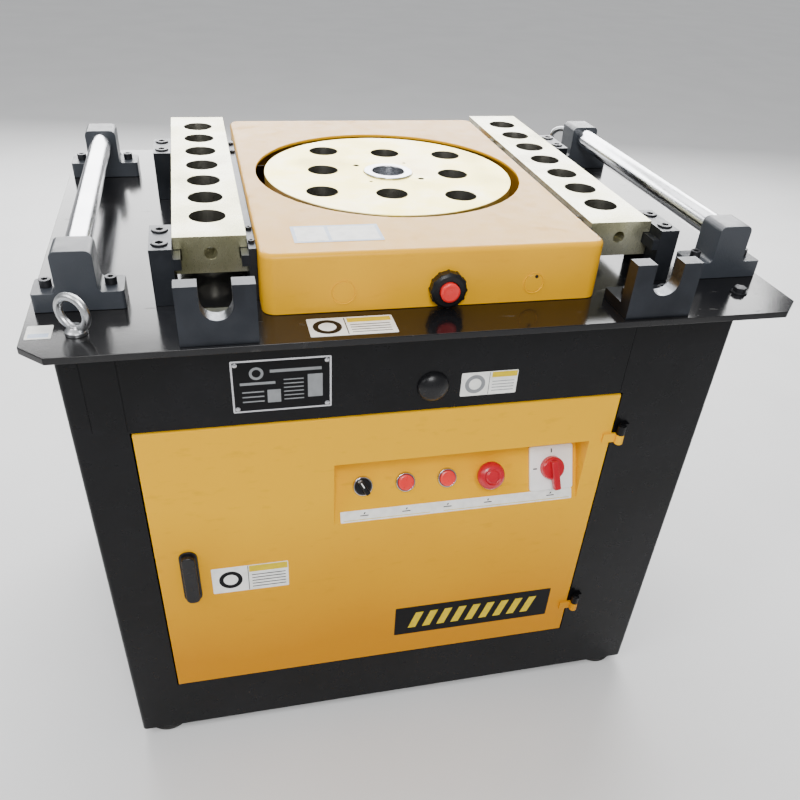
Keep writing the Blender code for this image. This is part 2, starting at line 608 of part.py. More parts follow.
def make_cradle(label, side):
    """Upright with a round-bottomed slot, in line with the bar's end hole, and a bolting foot behind it."""
    low_x, high_x = span(side, BAR_INNER, BAR_OUTER)
    base = TABLE_TOP + GAP
    back = CRADLE_FRONT + CRADLE_THICKNESS
    centre = side * BAR_CENTRE
    cradle = box(f"{label}_cradle", (low_x, CRADLE_FRONT, base), (high_x, back, CRADLE_TOP), CAST_BLACK)
    join(cradle, box(f"{label}_cradle_foot", (low_x + 0.0002, CRADLE_FRONT + 0.01, base + 0.0001),
                     (high_x - 0.0002, back + CRADLE_FOOT_LENGTH, CRADLE_FOOT_TOP), CAST_BLACK))
    cut(cradle, rod(f"{label}_slot_round", CRADLE_SLOT_RADIUS, (centre, CRADLE_FRONT - 0.02, CRADLE_SLOT_Z),
                    (centre, back + 0.02, CRADLE_SLOT_Z), CAST_BLACK, 20))
    mouth = CRADLE_SLOT_RADIUS - 0.0001
    cut(cradle, box(f"{label}_slot_open", (centre - mouth, CRADLE_FRONT - 0.02, CRADLE_SLOT_Z),
                    (centre + mouth, back + 0.02, CRADLE_TOP + 0.03), CAST_BLACK))


# ---------------------------------------------------------------- rollers

def make_roller_bracket(name, side, end):
    """Cast bracket: a bolting flange with a shouldered upright that carries the roller's journal."""
    near = end * BRACKET_INNER_Y
    far = end * (BRACKET_INNER_Y + BRACKET_DEPTH)
    low_y, high_y = min(near, far), max(near, far)
    centre = side * ROLLER_X
    base = box_mesh((centre - BRACKET_BASE_HALF, low_y, TABLE_TOP + GAP),
                    (centre + BRACKET_BASE_HALF, high_y, TABLE_TOP + BRACKET_BASE_HEIGHT))
    bevel_edges(base, upright_edges(base), 0.004, 2)
    bracket = add_object(name, base, CAST_BLACK)
    upright = box_mesh((centre - BRACKET_HALF, low_y + 0.0003, TABLE_TOP + 0.004),
                       (centre + BRACKET_HALF, high_y - 0.0003, BRACKET_TOP))
    shoulders = [edge for edge in upright.edges
                 if min(vert.co.z for vert in edge.verts) > BRACKET_TOP - 0.001
                 and abs(edge.verts[0].co.x - edge.verts[1].co.x) < 0.001]
    bevel_edges(upright, shoulders, 0.0075, 2)
    join(bracket, add_object(name + "_upright", upright, CAST_BLACK))
    bore_start = (centre, near - end * 0.02, ROLLER_Z)
    bore_end = (centre, near + end * 0.021, ROLLER_Z)
    cut(bracket, rod(name + "_bore", JOURNAL_RADIUS + 2 * GAP, bore_start, bore_end, CAST_BLACK, 12))


def make_roller(label, side):
    half = BRACKET_INNER_Y - 0.0005
    profile = [(0, half + 0.020), (JOURNAL_RADIUS, half + 0.020), (JOURNAL_RADIUS, half),
               (ROLLER_RADIUS - 0.001, half), (ROLLER_RADIUS, half - 0.001),
               (ROLLER_RADIUS, 0.001 - half), (ROLLER_RADIUS - 0.001, -half), (JOURNAL_RADIUS, -half),
               (JOURNAL_RADIUS, -half - 0.020), (0, -half - 0.020)]
    turned(f"{label}_roller", profile, (side * ROLLER_X, 0, ROLLER_Z), (0, 1, 0), BRIGHT_STEEL, 20)


# ---------------------------------------------------------------- door, recess, controls and latch

def panel_point(x, slope, height):
    """A point of the tilted control panel: slope up its face, height out from it."""
    y = DOOR_FRONT + slope * math.sin(PANEL_TILT) - height * math.cos(PANEL_TILT)
    z = RECESS_LOW + slope * math.cos(PANEL_TILT) + height * math.sin(PANEL_TILT)
    return Vector((x, y, z))


PANEL_OUT = Vector((0, -math.cos(PANEL_TILT), math.sin(PANEL_TILT)))


def wedge(name, grow, front, mat):
    """Box behind the recess opening, cut along the tilted panel's plane; grow thickens it all round."""
    depth = (RECESS_HIGH - RECESS_LOW) * math.tan(PANEL_TILT) + grow
    bm = box_mesh((RECESS_LEFT - grow, front, RECESS_LOW - grow),
                  (RECESS_RIGHT + grow, DOOR_FRONT + depth, RECESS_HIGH + grow))
    inward = -PANEL_OUT
    plane_point = panel_point(0, 0, 0) + inward * grow
    result = bmesh.ops.bisect_plane(bm, geom=list(bm.verts) + list(bm.edges) + list(bm.faces), dist=0.00001,
                                    plane_co=plane_point, plane_no=inward, clear_outer=True)
    cut_edges = [item for item in result["geom_cut"] if isinstance(item, bmesh.types.BMEdge)]
    bmesh.ops.contextual_create(bm, geom=cut_edges)
    return add_object(name, bm, mat)


def make_door():
    low = Vector((DOOR_LEFT, DOOR_FRONT, DOOR_LOW))
    high = Vector((DOOR_RIGHT, DOOR_FRONT + DOOR_DEPTH, DOOR_HIGH))
    axis = (HINGE_X, HINGE_Y, 0)
    tray = box_mesh(low, high)
    front_edges = [edge for edge in tray.edges if max(vert.co.y for vert in edge.verts) < DOOR_FRONT + 0.001]
    bevel_edges(tray, front_edges, 0.0015, 2)
    door = add_object("door_panel", tray, YELLOW_PAINT, axis)
    wall = Vector((DOOR_SHEET, DOOR_SHEET, DOOR_SHEET))
    cut(door, box("door_inside", low + wall, high - wall + Vector((0, 0.02, 0)), YELLOW_PAINT))
    fit = RECESS_WALL + GAP
    cut(door, box("recess_opening", (RECESS_LEFT - fit, DOOR_FRONT - 0.02, RECESS_LOW - fit),
                  (RECESS_RIGHT + fit, DOOR_FRONT + 0.006, RECESS_HIGH + fit), YELLOW_PAINT))
    cut(door, rod("latch_hole", 0.0075, (LATCH_X, DOOR_FRONT - 0.02, LATCH_PIVOT_Z),
                  (LATCH_X, DOOR_FRONT + 0.04, LATCH_PIVOT_Z), YELLOW_PAINT, 12))
    for level, z in HINGE_HEIGHTS.items():
        join(door, box(f"door_{level}_leaf", (0.2560, DOOR_FRONT - 0.0042, z - 0.0145),
                       (HINGE_X - 0.0030, DOOR_FRONT + 0.0010, z - 0.0005), YELLOW_PAINT))
        join(door, rod(f"door_{level}_knuckle", 0.0060, (HINGE_X, HINGE_Y, z - 0.0150), (HINGE_X, HINGE_Y, z),
                       YELLOW_PAINT, 12))
        cut(door, rod(f"door_{level}_bore", 0.0034, (HINGE_X, HINGE_Y, z - 0.03),
                      (HINGE_X, HINGE_Y, z + 0.01), YELLOW_PAINT, 12))
        pin = rod(f"hinge_{level}", 0.0030, (HINGE_X, HINGE_Y, z - 0.0165), (HINGE_X, HINGE_Y, z + 0.010),
                  YELLOW_PAINT, 12)
        join(pin, rod(f"hinge_{level}_knuckle", 0.0060, (HINGE_X, HINGE_Y, z + 0.0005),
                      (HINGE_X, HINGE_Y, z + 0.0150), YELLOW_PAINT, 12))
        join(pin, box(f"hinge_{level}_leaf", (HINGE_X + 0.0020, CABINET_FRONT - 0.0060, z + 0.0010),
                      (HINGE_X + 0.0125, CABINET_FRONT - GAP, z + 0.0145), YELLOW_PAINT))


def make_control_panel():
    panel = wedge("control_panel", RECESS_WALL, DOOR_FRONT + 0.0002, YELLOW_PAINT)
    cut(panel, wedge("recess_space", 0.0, DOOR_FRONT - 0.02, YELLOW_PAINT))
    for name, x in CONTROL_XS.items():
        start = panel_point(x, CONTROL_SLOPE, -0.03)
        end = panel_point(x, CONTROL_SLOPE, 0.03)
        cut(panel, rod(f"{name}_hole", BARREL_RADIUS + GAP, start, end, YELLOW_PAINT, 16))


def control_base(name, x, bezel, bezel_height, bore, mat):
    """Round bezel in front of the panel, its barrel through the hole and the contact block behind."""
    centre = panel_point(x, CONTROL_SLOPE, 0)
    profile = [(0, 0.0008), (bore, 0.0008), (bore, bezel_height), (bezel - 0.0015, bezel_height),
               (bezel, bezel_height - 0.0015), (bezel, GAP), (BARREL_RADIUS, GAP), (BARREL_RADIUS, -0.020),
               (0, -0.020)]
    base = turned(name, profile, centre, PANEL_OUT, mat, 20)
    block = box_mesh((-BLOCK_HALF, -BLOCK_HALF, -0.046), (BLOCK_HALF, BLOCK_HALF, -0.012))
    place_on_panel(block, x)
    join(base, add_object(name + "_block", block, BLACK_PLASTIC))
    cut(base, rod(name + "_plunger_bore", 0.0036, centre - PANEL_OUT * PLUNGER_DEPTH,
                  centre + PANEL_OUT * 0.004, BLACK_PLASTIC, 12))
    return base


def push_cap(name, x, head):
    centre = panel_point(x, CONTROL_SLOPE, 0)
    return turned(name, head + [(0.0032, head[-1][1]), (0.0032, -0.012), (0, -0.012)], centre, PANEL_OUT,
                  RED_PLASTIC, 16)


def make_controls():
    control_base("selector_base", CONTROL_XS["selector"], BEZEL, 0.005, 0.0118, CHROME)
    for name in ("forward", "reverse"):
        control_base(f"{name}_button_base", CONTROL_XS[name], BEZEL, 0.006, 0.0118, CHROME)
        push_cap(f"{name}_button_cap", CONTROL_XS[name],
                 [(0, 0.0092), (0.0095, 0.0092), (0.0113, 0.0080), (0.0113, 0.0052)])
    control_base("estop_base", CONTROL_XS["estop"], 0.0150, 0.008, 0.0112, YELLOW_PAINT)
    push_cap("estop_mushroom", CONTROL_XS["estop"],
             [(0, 0.0270), (0.0110, 0.0260), (0.0180, 0.0225), (0.0205, 0.0180), (0.0205, 0.0150),
              (0.0185, 0.0130), (0.0106, 0.0130), (0.0106, 0.0060)])
    make_selector_knob()
    make_isolator()
    make_latch()


def place_on_panel(bm, x, turn=0.0):
    centre = panel_point(x, CONTROL_SLOPE, 0)
    spin = Matrix.Rotation(turn, 4, "Z")
    lean = Vector((0, 0, 1)).rotation_difference(PANEL_OUT).to_matrix().to_4x4()
    bm.transform(Matrix.Translation(centre) @ lean @ spin)
    return centre


def make_selector_knob():
    x = CONTROL_XS["selector"]
    centre = panel_point(x, CONTROL_SLOPE, 0)
    profile = [(0, 0.0075), (0.0100, 0.0075), (0.0112, 0.0065), (0.0112, 0.0012), (0.0032, 0.0012),
               (0.0032, -0.012), (0, -0.012)]
    knob = turned("selector_knob", profile, centre, PANEL_OUT, BLACK_PLASTIC, 16)
    grip = box_mesh((-0.0035, -0.0108, 0.0030), (0.0035, 0.0108, 0.0185))
    top_edges = [edge for edge in grip.edges if min(vert.co.z for vert in edge.verts) > 0.018]
    bevel_edges(grip, top_edges, 0.0015, 2)
    place_on_panel(grip, x, math.radians(30))
    join(knob, add_object("selector_grip", grip, BLACK_PLASTIC))


def make_isolator():
    x = CONTROL_XS["isolator"]
    plate = box_mesh((-PLATE_HALF, -PLATE_HALF, GAP), (PLATE_HALF, PLATE_HALF, 0.0060))
    front_edges = [edge for edge in plate.edges if max(vert.co.z for vert in edge.verts) > 0.0059]
    bevel_edges(plate, front_edges, 0.0015, 2)
    centre = place_on_panel(plate, x)
    base = add_object("isolator_plate", plate, WHITE_PLASTIC)
    barrel = rod("isolator_barrel", BARREL_RADIUS - 0.0005, centre - PANEL_OUT * 0.010,
                 centre + PANEL_OUT * 0.003, WHITE_PLASTIC, 12)
    join(base, barrel)
    body = box_mesh((-0.021, -0.021, -0.040), (0.021, 0.021, -0.0080))
    place_on_panel(body, x)
    join(base, add_object("isolator_body", body, WHITE_PLASTIC))
    cut(base, rod("isolator_bore", 0.0036, centre - PANEL_OUT * 0.014, centre + PANEL_OUT * 0.02,
                  WHITE_PLASTIC, 12))
    profile = [(0, 0.0160), (0.0150, 0.0160), (0.0170, 0.0140), (0.0180, 0.0065), (0.0032, 0.0065),
               (0.0032, -0.010), (0, -0.010)]
    knob = turned("isolator_knob", profile, centre, PANEL_OUT, RED_PLASTIC, 20)
    lever = box_mesh((-0.0050, -0.0310, 0.0120), (0.0050, 0.0130, 0.0240))
    top_edges = [edge for edge in lever.edges if min(vert.co.z for vert in edge.verts) > 0.023]
    bevel_edges(lever, top_edges, 0.0020, 2)
    place_on_panel(lever, x, math.radians(6))
    join(knob, add_object("isolator_lever", lever, RED_PLASTIC))


def make_latch():
    """Black lever on a plate; its shaft passes the door and carries the cam behind the cabinet's edge."""
    front = DOOR_FRONT - GAP
    half = 0.0125
    top = LATCH_PIVOT_Z + 0.015
    low = top - 0.095
    plate = box_mesh((LATCH_X - half, front - 0.0025, low), (LATCH_X + half, front, top))
    lower = [edge for edge in plate.edges if max(vert.co.z for vert in edge.verts) < low + 0.001
             and abs(edge.verts[0].co.y - edge.verts[1].co.y) > 0.001]
    bevel_edges(plate, lower, 0.0110, 4)
    back_plate = add_object("latch_plate", plate, BLACK_PLASTIC, (HINGE_X, HINGE_Y, 0))
    cut(back_plate, rod("latch_plate_hole", 0.0073, (LATCH_X, front - 0.01, LATCH_PIVOT_Z),
                        (LATCH_X, front + 0.01, LATCH_PIVOT_Z), BLACK_PLASTIC, 12))
    pivot = (LATCH_X, front, LATCH_PIVOT_Z)
    grip_front = front - 0.0025 - 0.0085
    grip_low = (LATCH_X - 0.0095, grip_front, low + 0.004)
    grip_high = (LATCH_X + 0.0095, front - 0.0030, top - 0.004)
    grip = box_mesh(grip_low, grip_high)
    ends = [edge for edge in grip.edges if abs(edge.verts[0].co.y - edge.verts[1].co.y) > 0.001]
    bevel_edges(grip, ends, 0.0060, 3)
    lever = add_object("latch_handle", grip, BLACK_PLASTIC, pivot)
    join(lever, rod("latch_shaft", 0.0060, (LATCH_X, front - 0.0050, LATCH_PIVOT_Z),
                    (LATCH_X, -0.2945, LATCH_PIVOT_Z), BLACK_PLASTIC, 12))
    join(lever, box("latch_cam", (LATCH_X - 0.0560, -0.2965, LATCH_PIVOT_Z - 0.0080),
                    (LATCH_X + 0.0080, -0.2935, LATCH_PIVOT_Z + 0.0080), BLACK_PLASTIC))


make_cabinet()
make_base()
make_table()
make_header_cap()
for corner, (corner_x, corner_y) in EYE_BOLTS.items():
    eye_bolt(f"eye_bolt_{corner}", corner_x, corner_y, EYE_TURN)
make_cover()
make_cover_button()
make_disc()
make_main_shaft()
make_worm_wheel()
make_worm()
make_gearbox()
make_belt_drive()
make_motor()
make_electrical_box()
for bar_label, bar_side in (("left", -1), ("right", 1)):
    make_bar(bar_label, bar_side)
    make_clamps(bar_label, bar_side)
    make_cradle(bar_label, bar_side)
    make_roller(bar_label, bar_side)
    make_roller_bracket(f"{bar_label}_front_bracket", bar_side, -1)
    make_roller_bracket(f"{bar_label}_rear_bracket", bar_side, 1)
make_door()
make_control_panel()
make_controls()
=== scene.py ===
import math

import bmesh
import bpy
from mathutils import Matrix, Vector


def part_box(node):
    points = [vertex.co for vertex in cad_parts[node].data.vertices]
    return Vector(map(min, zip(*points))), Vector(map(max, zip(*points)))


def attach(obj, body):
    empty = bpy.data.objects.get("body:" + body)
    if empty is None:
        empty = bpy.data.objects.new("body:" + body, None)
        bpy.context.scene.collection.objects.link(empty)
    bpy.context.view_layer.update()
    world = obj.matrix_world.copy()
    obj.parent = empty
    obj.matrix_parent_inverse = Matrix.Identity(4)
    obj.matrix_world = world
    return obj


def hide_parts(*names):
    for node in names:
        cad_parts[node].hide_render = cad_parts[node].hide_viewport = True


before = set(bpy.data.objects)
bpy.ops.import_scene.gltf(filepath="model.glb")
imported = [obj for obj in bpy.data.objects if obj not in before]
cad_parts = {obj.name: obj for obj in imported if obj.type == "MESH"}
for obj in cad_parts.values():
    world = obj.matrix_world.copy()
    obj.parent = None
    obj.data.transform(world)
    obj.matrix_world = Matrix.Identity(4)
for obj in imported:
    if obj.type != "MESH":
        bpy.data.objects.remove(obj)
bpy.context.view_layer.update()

# ---------------------------------------------------------------- camera
# The view is a standing operator's: from the machine's front left, looking down on the table. The small
# shift keeps the upright edges in the frame without tipping the camera further.
HEADING = math.radians(-15.0)
LOOKING_DOWN = math.radians(37.5)
ROLL = math.radians(3.6)
camera_lens = bpy.data.cameras.new("camera")
camera_lens.sensor_width = 36.0
camera_lens.lens = 35.14
camera_lens.shift_x = 0.006
camera_lens.shift_y = 0.0875
camera = bpy.data.objects.new("camera", camera_lens)
camera.matrix_world = (Matrix.Translation((-0.2604, -1.1245, 1.1476)) @ Matrix.Rotation(HEADING, 4, "Z")
                       @ Matrix.Rotation(math.pi / 2 - LOOKING_DOWN, 4, "X") @ Matrix.Rotation(ROLL, 4, "Z"))
bpy.context.scene.collection.objects.link(camera)
bpy.context.scene.camera = camera


# ---------------------------------------------------------------- floor and lights
# A pale, faintly mottled workshop floor under a soft ceiling light and four softboxes: one over the table, a
# low one behind that the flat tops mirror, one at the operator's left, and one high in front of the door.
class Signal:
    """A value inside a finish; arithmetic on it adds the Math nodes that work it out."""

    def __init__(self, finish, socket):
        self.finish = finish
        self.socket = socket

    def maths(self, operation, first, second=0.5):
        return self.finish.node("ShaderNodeMath", {"operation": operation}, {0: first, 1: second})

    def __add__(self, other):
        return self.maths("ADD", self, other)

    def __sub__(self, other):
        return self.maths("SUBTRACT", self, other)

    def __rsub__(self, other):
        return self.maths("SUBTRACT", other, self)

    def __mul__(self, other):
        return self.maths("MULTIPLY", self, other)

    __radd__ = __add__
    __rmul__ = __mul__


class Finish:
    """One material, whose nodes are added with node() and whose surface is wired with surface()."""

    def __init__(self, name):
        self.material = bpy.data.materials.new(name)
        self.material.use_nodes = True
        self.tree = self.material.node_tree
        self.shader = self.tree.nodes["Principled BSDF"]

    def node(self, kind, settings=None, values=None, out=0):
        made = self.tree.nodes.new(kind)
        for key, setting in (settings or {}).items():
            if key == "stops":
                made.color_ramp.elements[0].position = setting[0][0]
                made.color_ramp.elements[0].color = (*setting[0][1], 1)
                made.color_ramp.elements[1].position = setting[-1][0]
                made.color_ramp.elements[1].color = (*setting[-1][1], 1)
                for place, colour in setting[1:-1]:
                    made.color_ramp.elements.new(place).color = (*colour, 1)
            else:
                setattr(made, key, setting)
        self.feed(made, values or {})
        return Signal(self, made.outputs[out])

    def feed(self, node, values):
        for key, value in values.items():
            if isinstance(value, Signal):
                self.tree.links.new(value.socket, node.inputs[key])
            else:
                node.inputs[key].default_value = value

    def place(self, stretch=(1, 1, 1), centre=(0, 0, 0)):
        """Object coordinates, moved so that centre is the middle and then stretched."""
        spot = self.node("ShaderNodeTexCoord", out="Object")
        spot = self.node("ShaderNodeVectorMath", {"operation": "SUBTRACT"}, {0: spot, 1: centre})
        return self.node("ShaderNodeMapping", {}, {"Vector": spot, "Scale": stretch})

    def noise(self, scale, detail=3.0, stretch=(1, 1, 1)):
        return self.node("ShaderNodeTexNoise", {},
                         {"Vector": self.place(stretch), "Scale": scale, "Detail": detail})

    def spread(self, value, low, high, to_low=0.0, to_high=1.0):
        return self.node("ShaderNodeMapRange", {}, {0: value, 1: low, 2: high, 3: to_low, 4: to_high})

    def ramp(self, value, *stops):
        return self.node("ShaderNodeValToRGB", {"stops": stops}, {0: value})

    def blend(self, amount, first, second):
        return self.node("ShaderNodeMix", {"data_type": "RGBA"}, {0: amount, 6: first, 7: second}, out=2)

    def surface(self, relief=None, depth=0.0002, strength=1.0, **values):
        """Wire the shader; underscores in a name stand for spaces, and relief is the bump's height."""
        if relief is not None:
            lift = {"Strength": strength, "Distance": depth, "Height": relief}
            values["Normal"] = self.node("ShaderNodeBump", {}, lift)
        self.feed(self.shader, {key.replace("_", " "): value for key, value in values.items()})
        return self.material


def paint(name, colour, worn, roughness, peel=0.00006, coat=0.0, shine=0.3):
    """Sprayed enamel: faint blotches, orange peel, fine handling scuffs."""
    made = Finish(name)
    blotch = made.noise(9.0, 4.0)
    scuff = made.spread(made.noise(34.0, 8.0, (1, 1, 3)), 0.60, 0.74)
    tone = made.blend(made.spread(blotch, 0.35, 0.65) * 0.35 + scuff * 0.30, (*colour, 1), (*worn, 1))
    gloss = made.spread(made.noise(60.0, 5.0), 0.3, 0.7, roughness - 0.05, roughness + 0.06) + scuff * 0.10
    return made.surface(made.noise(620.0, 2.0), peel, Base_Color=tone, Roughness=gloss, Coat_Weight=coat,
                        Coat_Roughness=0.12, Specular_IOR_Level=shine)


floor_finish = Finish("studio_floor")
floor_tone = floor_finish.ramp(floor_finish.noise(3.0, 5.0), (0.3, (0.74, 0.74, 0.74)),
                               (0.7, (0.78, 0.78, 0.78)))
floor_finish.surface(Base_Color=floor_tone, Roughness=0.7)
floor_mesh = bmesh.new()
bmesh.ops.create_grid(floor_mesh, x_segments=4, y_segments=4, size=20.0)
floor_data = bpy.data.meshes.new("studio_floor")
floor_mesh.to_mesh(floor_data)
floor_mesh.free()
floor_data.materials.append(floor_finish.material)
studio_floor = bpy.data.objects.new("studio_floor", floor_data)
bpy.context.scene.collection.objects.link(studio_floor)

for light_name, light_place, light_width, light_height, light_power in (
        ("top_softbox", (0.2, 1.2, 2.9), 2.2, 2.2, 60), ("window_softbox", (0.5, 2.6, 1.65), 4.2, 1.3, 180),
        ("left_softbox", (-2.4, -1.0, 2.4), 1.4, 1.4, 34),
        ("front_softbox", (-0.3, -1.9, 2.0), 0.9, 0.8, 40)):
    softbox = bpy.data.lights.new(light_name, "AREA")
    softbox.shape = "RECTANGLE"
    softbox.size = light_width
    softbox.size_y = light_height
    softbox.energy = light_power
    lamp = bpy.data.objects.new(light_name, softbox)
    lamp.location = light_place
    lamp.rotation_euler = (Vector((0, 0, 0.5)) - Vector(light_place)).to_track_quat("-Z", "Y").to_euler()
    bpy.context.scene.collection.objects.link(lamp)
ceiling_light = bpy.data.lights.new("ceiling", "SUN")
ceiling_light.energy = 1.1
ceiling_light.angle = math.radians(100)
ceiling = bpy.data.objects.new("ceiling", ceiling_light)
ceiling.rotation_euler = (math.radians(-14), 0, 0)
bpy.context.scene.collection.objects.link(ceiling)
sky = bpy.data.worlds.new("studio_air")
sky.use_nodes = True
sky.node_tree.nodes["Background"].inputs["Color"].default_value = (0.95, 0.97, 1.0, 1)
sky.node_tree.nodes["Background"].inputs["Strength"].default_value = 0.36
bpy.context.scene.world = sky


# ---------------------------------------------------------------- cabinet
# The cabinet is folded from 2.5 mm sheet and sprayed black: an open-bottomed box with a door opening in
# front, louvres in both sides for the motor's air, and a screwed cover plate at the back.
def moved(made, by):
    """The same shape, shifted."""
    bmesh.ops.translate(made, verts=made.verts, vec=by)
    return made


def blank(corner, opposite):
    """A block between two opposite corners."""
    made = bmesh.new()
    low = Vector(map(min, corner, opposite))
    high = Vector(map(max, corner, opposite))
    bmesh.ops.create_cube(made, size=1.0)
    bmesh.ops.scale(made, verts=made.verts, vec=high - low)
    return moved(made, (low + high) / 2)


def rounded(made, width, segments=3, wanted=None):
    """Round the wanted edges of a block, or all of them; wanted picks an edge by its direction and middle."""
    edges = []
    for edge in made.edges:
        run = (edge.verts[1].co - edge.verts[0].co).normalized()
        middle = (edge.verts[1].co + edge.verts[0].co) / 2
        if wanted is None or wanted(run, middle):
            edges.append(edge)
    bmesh.ops.bevel(made, geom=edges, offset=width, offset_type="OFFSET", segments=segments, profile=0.5,
                    affect="EDGES", material=-1)
    return made


def gathered(*shapes):
    """Several shapes as one, without joining their surfaces."""
    whole = bmesh.new()
    for shape in shapes:
        carrier = bpy.data.meshes.new("carrier")
        shape.to_mesh(carrier)
        shape.free()
        whole.from_mesh(carrier)
        bpy.data.meshes.remove(carrier)
    return whole


def bored(stock, tools, operation="DIFFERENCE"):
    """Cut tools out of stock, or join them to it, and give the result as one bmesh."""
    made = []
    for shape in (stock, tools):
        bmesh.ops.recalc_face_normals(shape, faces=shape.faces)
        mesh = bpy.data.meshes.new("blank")
        shape.to_mesh(mesh)
        shape.free()
        made.append(bpy.data.objects.new("blank", mesh))
        bpy.context.scene.collection.objects.link(made[-1])
    boolean = made[0].modifiers.new("bore", "BOOLEAN")
    boolean.operation = operation
    boolean.object = made[1]
    boolean.use_self = operation == "UNION"
    bpy.context.view_layer.update()
    result = bmesh.new()
    result.from_object(made[0], bpy.context.evaluated_depsgraph_get())
    for carrier in made:
        bpy.data.objects.remove(carrier)
    bmesh.ops.remove_doubles(result, verts=result.verts, dist=0.000002)
    return result


def aimed(made, centre, direction):
    """Turn a shape built along Z to a direction and put its origin at centre."""
    turn = Vector((0, 0, 1)).rotation_difference(Vector(direction)).to_matrix().to_4x4()
    made.transform(Matrix.Translation(centre) @ turn)
    return made


def rod(radius, start, end, segments=48):
    made = bmesh.new()
    start = Vector(start)
    end = Vector(end)
    bmesh.ops.create_cone(made, cap_ends=True, segments=segments, radius1=radius, radius2=radius,
                          depth=(end - start).length)
    return aimed(made, (start + end) / 2, end - start)


def bore(radius, x, y, z, segments=48):
    """A rod along the one axis whose place is given as a (start, end) pair."""
    ends = ([spot[end] if isinstance(spot, tuple) else spot for spot in (x, y, z)] for end in (0, 1))
    return rod(radius, *ends, segments)


def piece(name, made, finish, body, stands_for=(), edge=0.0, crease=32):
    """Finish a shape as a piece: smooth shading, fine rounded edges, its body and its CAD nodes."""
    bmesh.ops.recalc_face_normals(made, faces=made.faces)
    mesh = bpy.data.meshes.new(name)
    made.to_mesh(mesh)
    made.free()
    for one in finish if isinstance(finish, (list, tuple)) else (finish,):
        mesh.materials.append(one)
    part = bpy.data.objects.new(name, mesh)
    bpy.context.scene.collection.objects.link(part)
    mesh.shade_smooth()
    if edge:
        bevel = part.modifiers.new("edges", "BEVEL")
        bevel.width = edge
        bevel.segments = 2
        bevel.limit_method = "ANGLE"
        bevel.angle_limit = math.radians(crease)
    else:
        mesh.set_sharp_from_angle(angle=math.radians(crease))
    shading = part.modifiers.new("shading", "WEIGHTED_NORMAL")
    shading.keep_sharp = True
    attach(part, body)
    if stands_for:
        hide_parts(*stands_for)
    return part


def middle_of(node, axis):
    """The middle of a CAD node's box along an axis."""
    low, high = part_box(node)
    return (getattr(low, axis) + getattr(high, axis)) / 2


def upright(run, middle):
    return abs(run.z) > 0.99


def deep(run, middle):
    return abs(run.y) > 0.99


black_enamel = paint("black_enamel", (0.0035, 0.0035, 0.0040), (0.010, 0.010, 0.012), 0.30, shine=0.16)
cabinet_low, cabinet_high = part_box("cabinet_shell")
door_low, door_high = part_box("door_panel")
SHEET = 0.0025
DOOR_RIGHT = 0.270
DOOR_GAP = 0.002
SEAM = 0.0006
FRONT = cabinet_low.y
PLUG_Z = 0.631
cabinet = rounded(blank(cabinet_low, cabinet_high), 0.006, 4, upright)
inside = blank(cabinet_low + Vector((SHEET, SHEET, -0.01)), cabinet_high + Vector((-SHEET, -SHEET, 0.01)))
cabinet_cuts = [bore(0.0145, 0, (FRONT - 0.02, FRONT + 0.02), PLUG_Z, 32),
                blank((door_low.x - DOOR_GAP, FRONT - 0.02, door_low.z - DOOR_GAP),
                      (DOOR_RIGHT + DOOR_GAP, FRONT + 0.02, door_high.z + DOOR_GAP))]
for seam_x in (door_low.x - 0.003, -0.415, DOOR_RIGHT - 0.003):
    cabinet_cuts.append(blank((seam_x - SEAM, FRONT - 0.01, door_high.z + 0.006),
                              (seam_x + SEAM, FRONT + 0.0007, cabinet_high.z + 0.01)))
LOUVRES = 6
LOUVRE_LOW = 0.42
LOUVRE_PITCH = 0.028
LOUVRE_HALF = 0.09
LOUVRE_SLOT = 0.008
louvre_rows = [LOUVRE_LOW + row * LOUVRE_PITCH for row in range(LOUVRES)]
for side_x in (cabinet_low.x, cabinet_high.x):
    for row_z in louvre_rows:
        cabinet_cuts.append(blank((side_x - 0.02, -LOUVRE_HALF, row_z),
                                  (side_x + 0.02, LOUVRE_HALF, row_z + LOUVRE_SLOT)))
BACK_PLATE_LOW = Vector((-0.330, cabinet_high.y - 0.0009, 0.130))
BACK_PLATE_HIGH = Vector((0.300, cabinet_high.y + 0.002, 0.610))
cabinet = bored(bored(cabinet, inside), gathered(*cabinet_cuts))
piece("cabinet", cabinet, black_enamel, "root", ["cabinet_shell"], 0.0004)

hoods = []
for side_x, outward in ((cabinet_low.x, -1), (cabinet_high.x, 1)):
    for row_z in louvre_rows:
        hood = bmesh.new()
        bmesh.ops.create_uvsphere(hood, u_segments=32, v_segments=16, radius=1.0)
        bmesh.ops.scale(hood, verts=hood.verts, vec=(0.0055, LOUVRE_HALF + 0.004, 0.0105))
        for level, normal in ((0, (outward, 0, 0)), (0, (0, 0, 1))):
            bmesh.ops.bisect_plane(hood, geom=hood.verts[:] + hood.edges[:] + hood.faces[:], dist=0.000001,
                                   plane_co=(0, 0, level), plane_no=normal, clear_inner=True)
        bmesh.ops.solidify(hood, geom=hood.faces[:], thickness=0.0010)
        hoods.append(moved(hood, (side_x - outward * 0.0002, 0, row_z + 0.0005)))
piece("louvre_hoods", gathered(*hoods), black_enamel, "root")
back_plate = rounded(blank(BACK_PLATE_LOW, BACK_PLATE_HIGH), 0.010, 4, deep)
piece("back_plate", back_plate, black_enamel, "root", edge=0.0005)


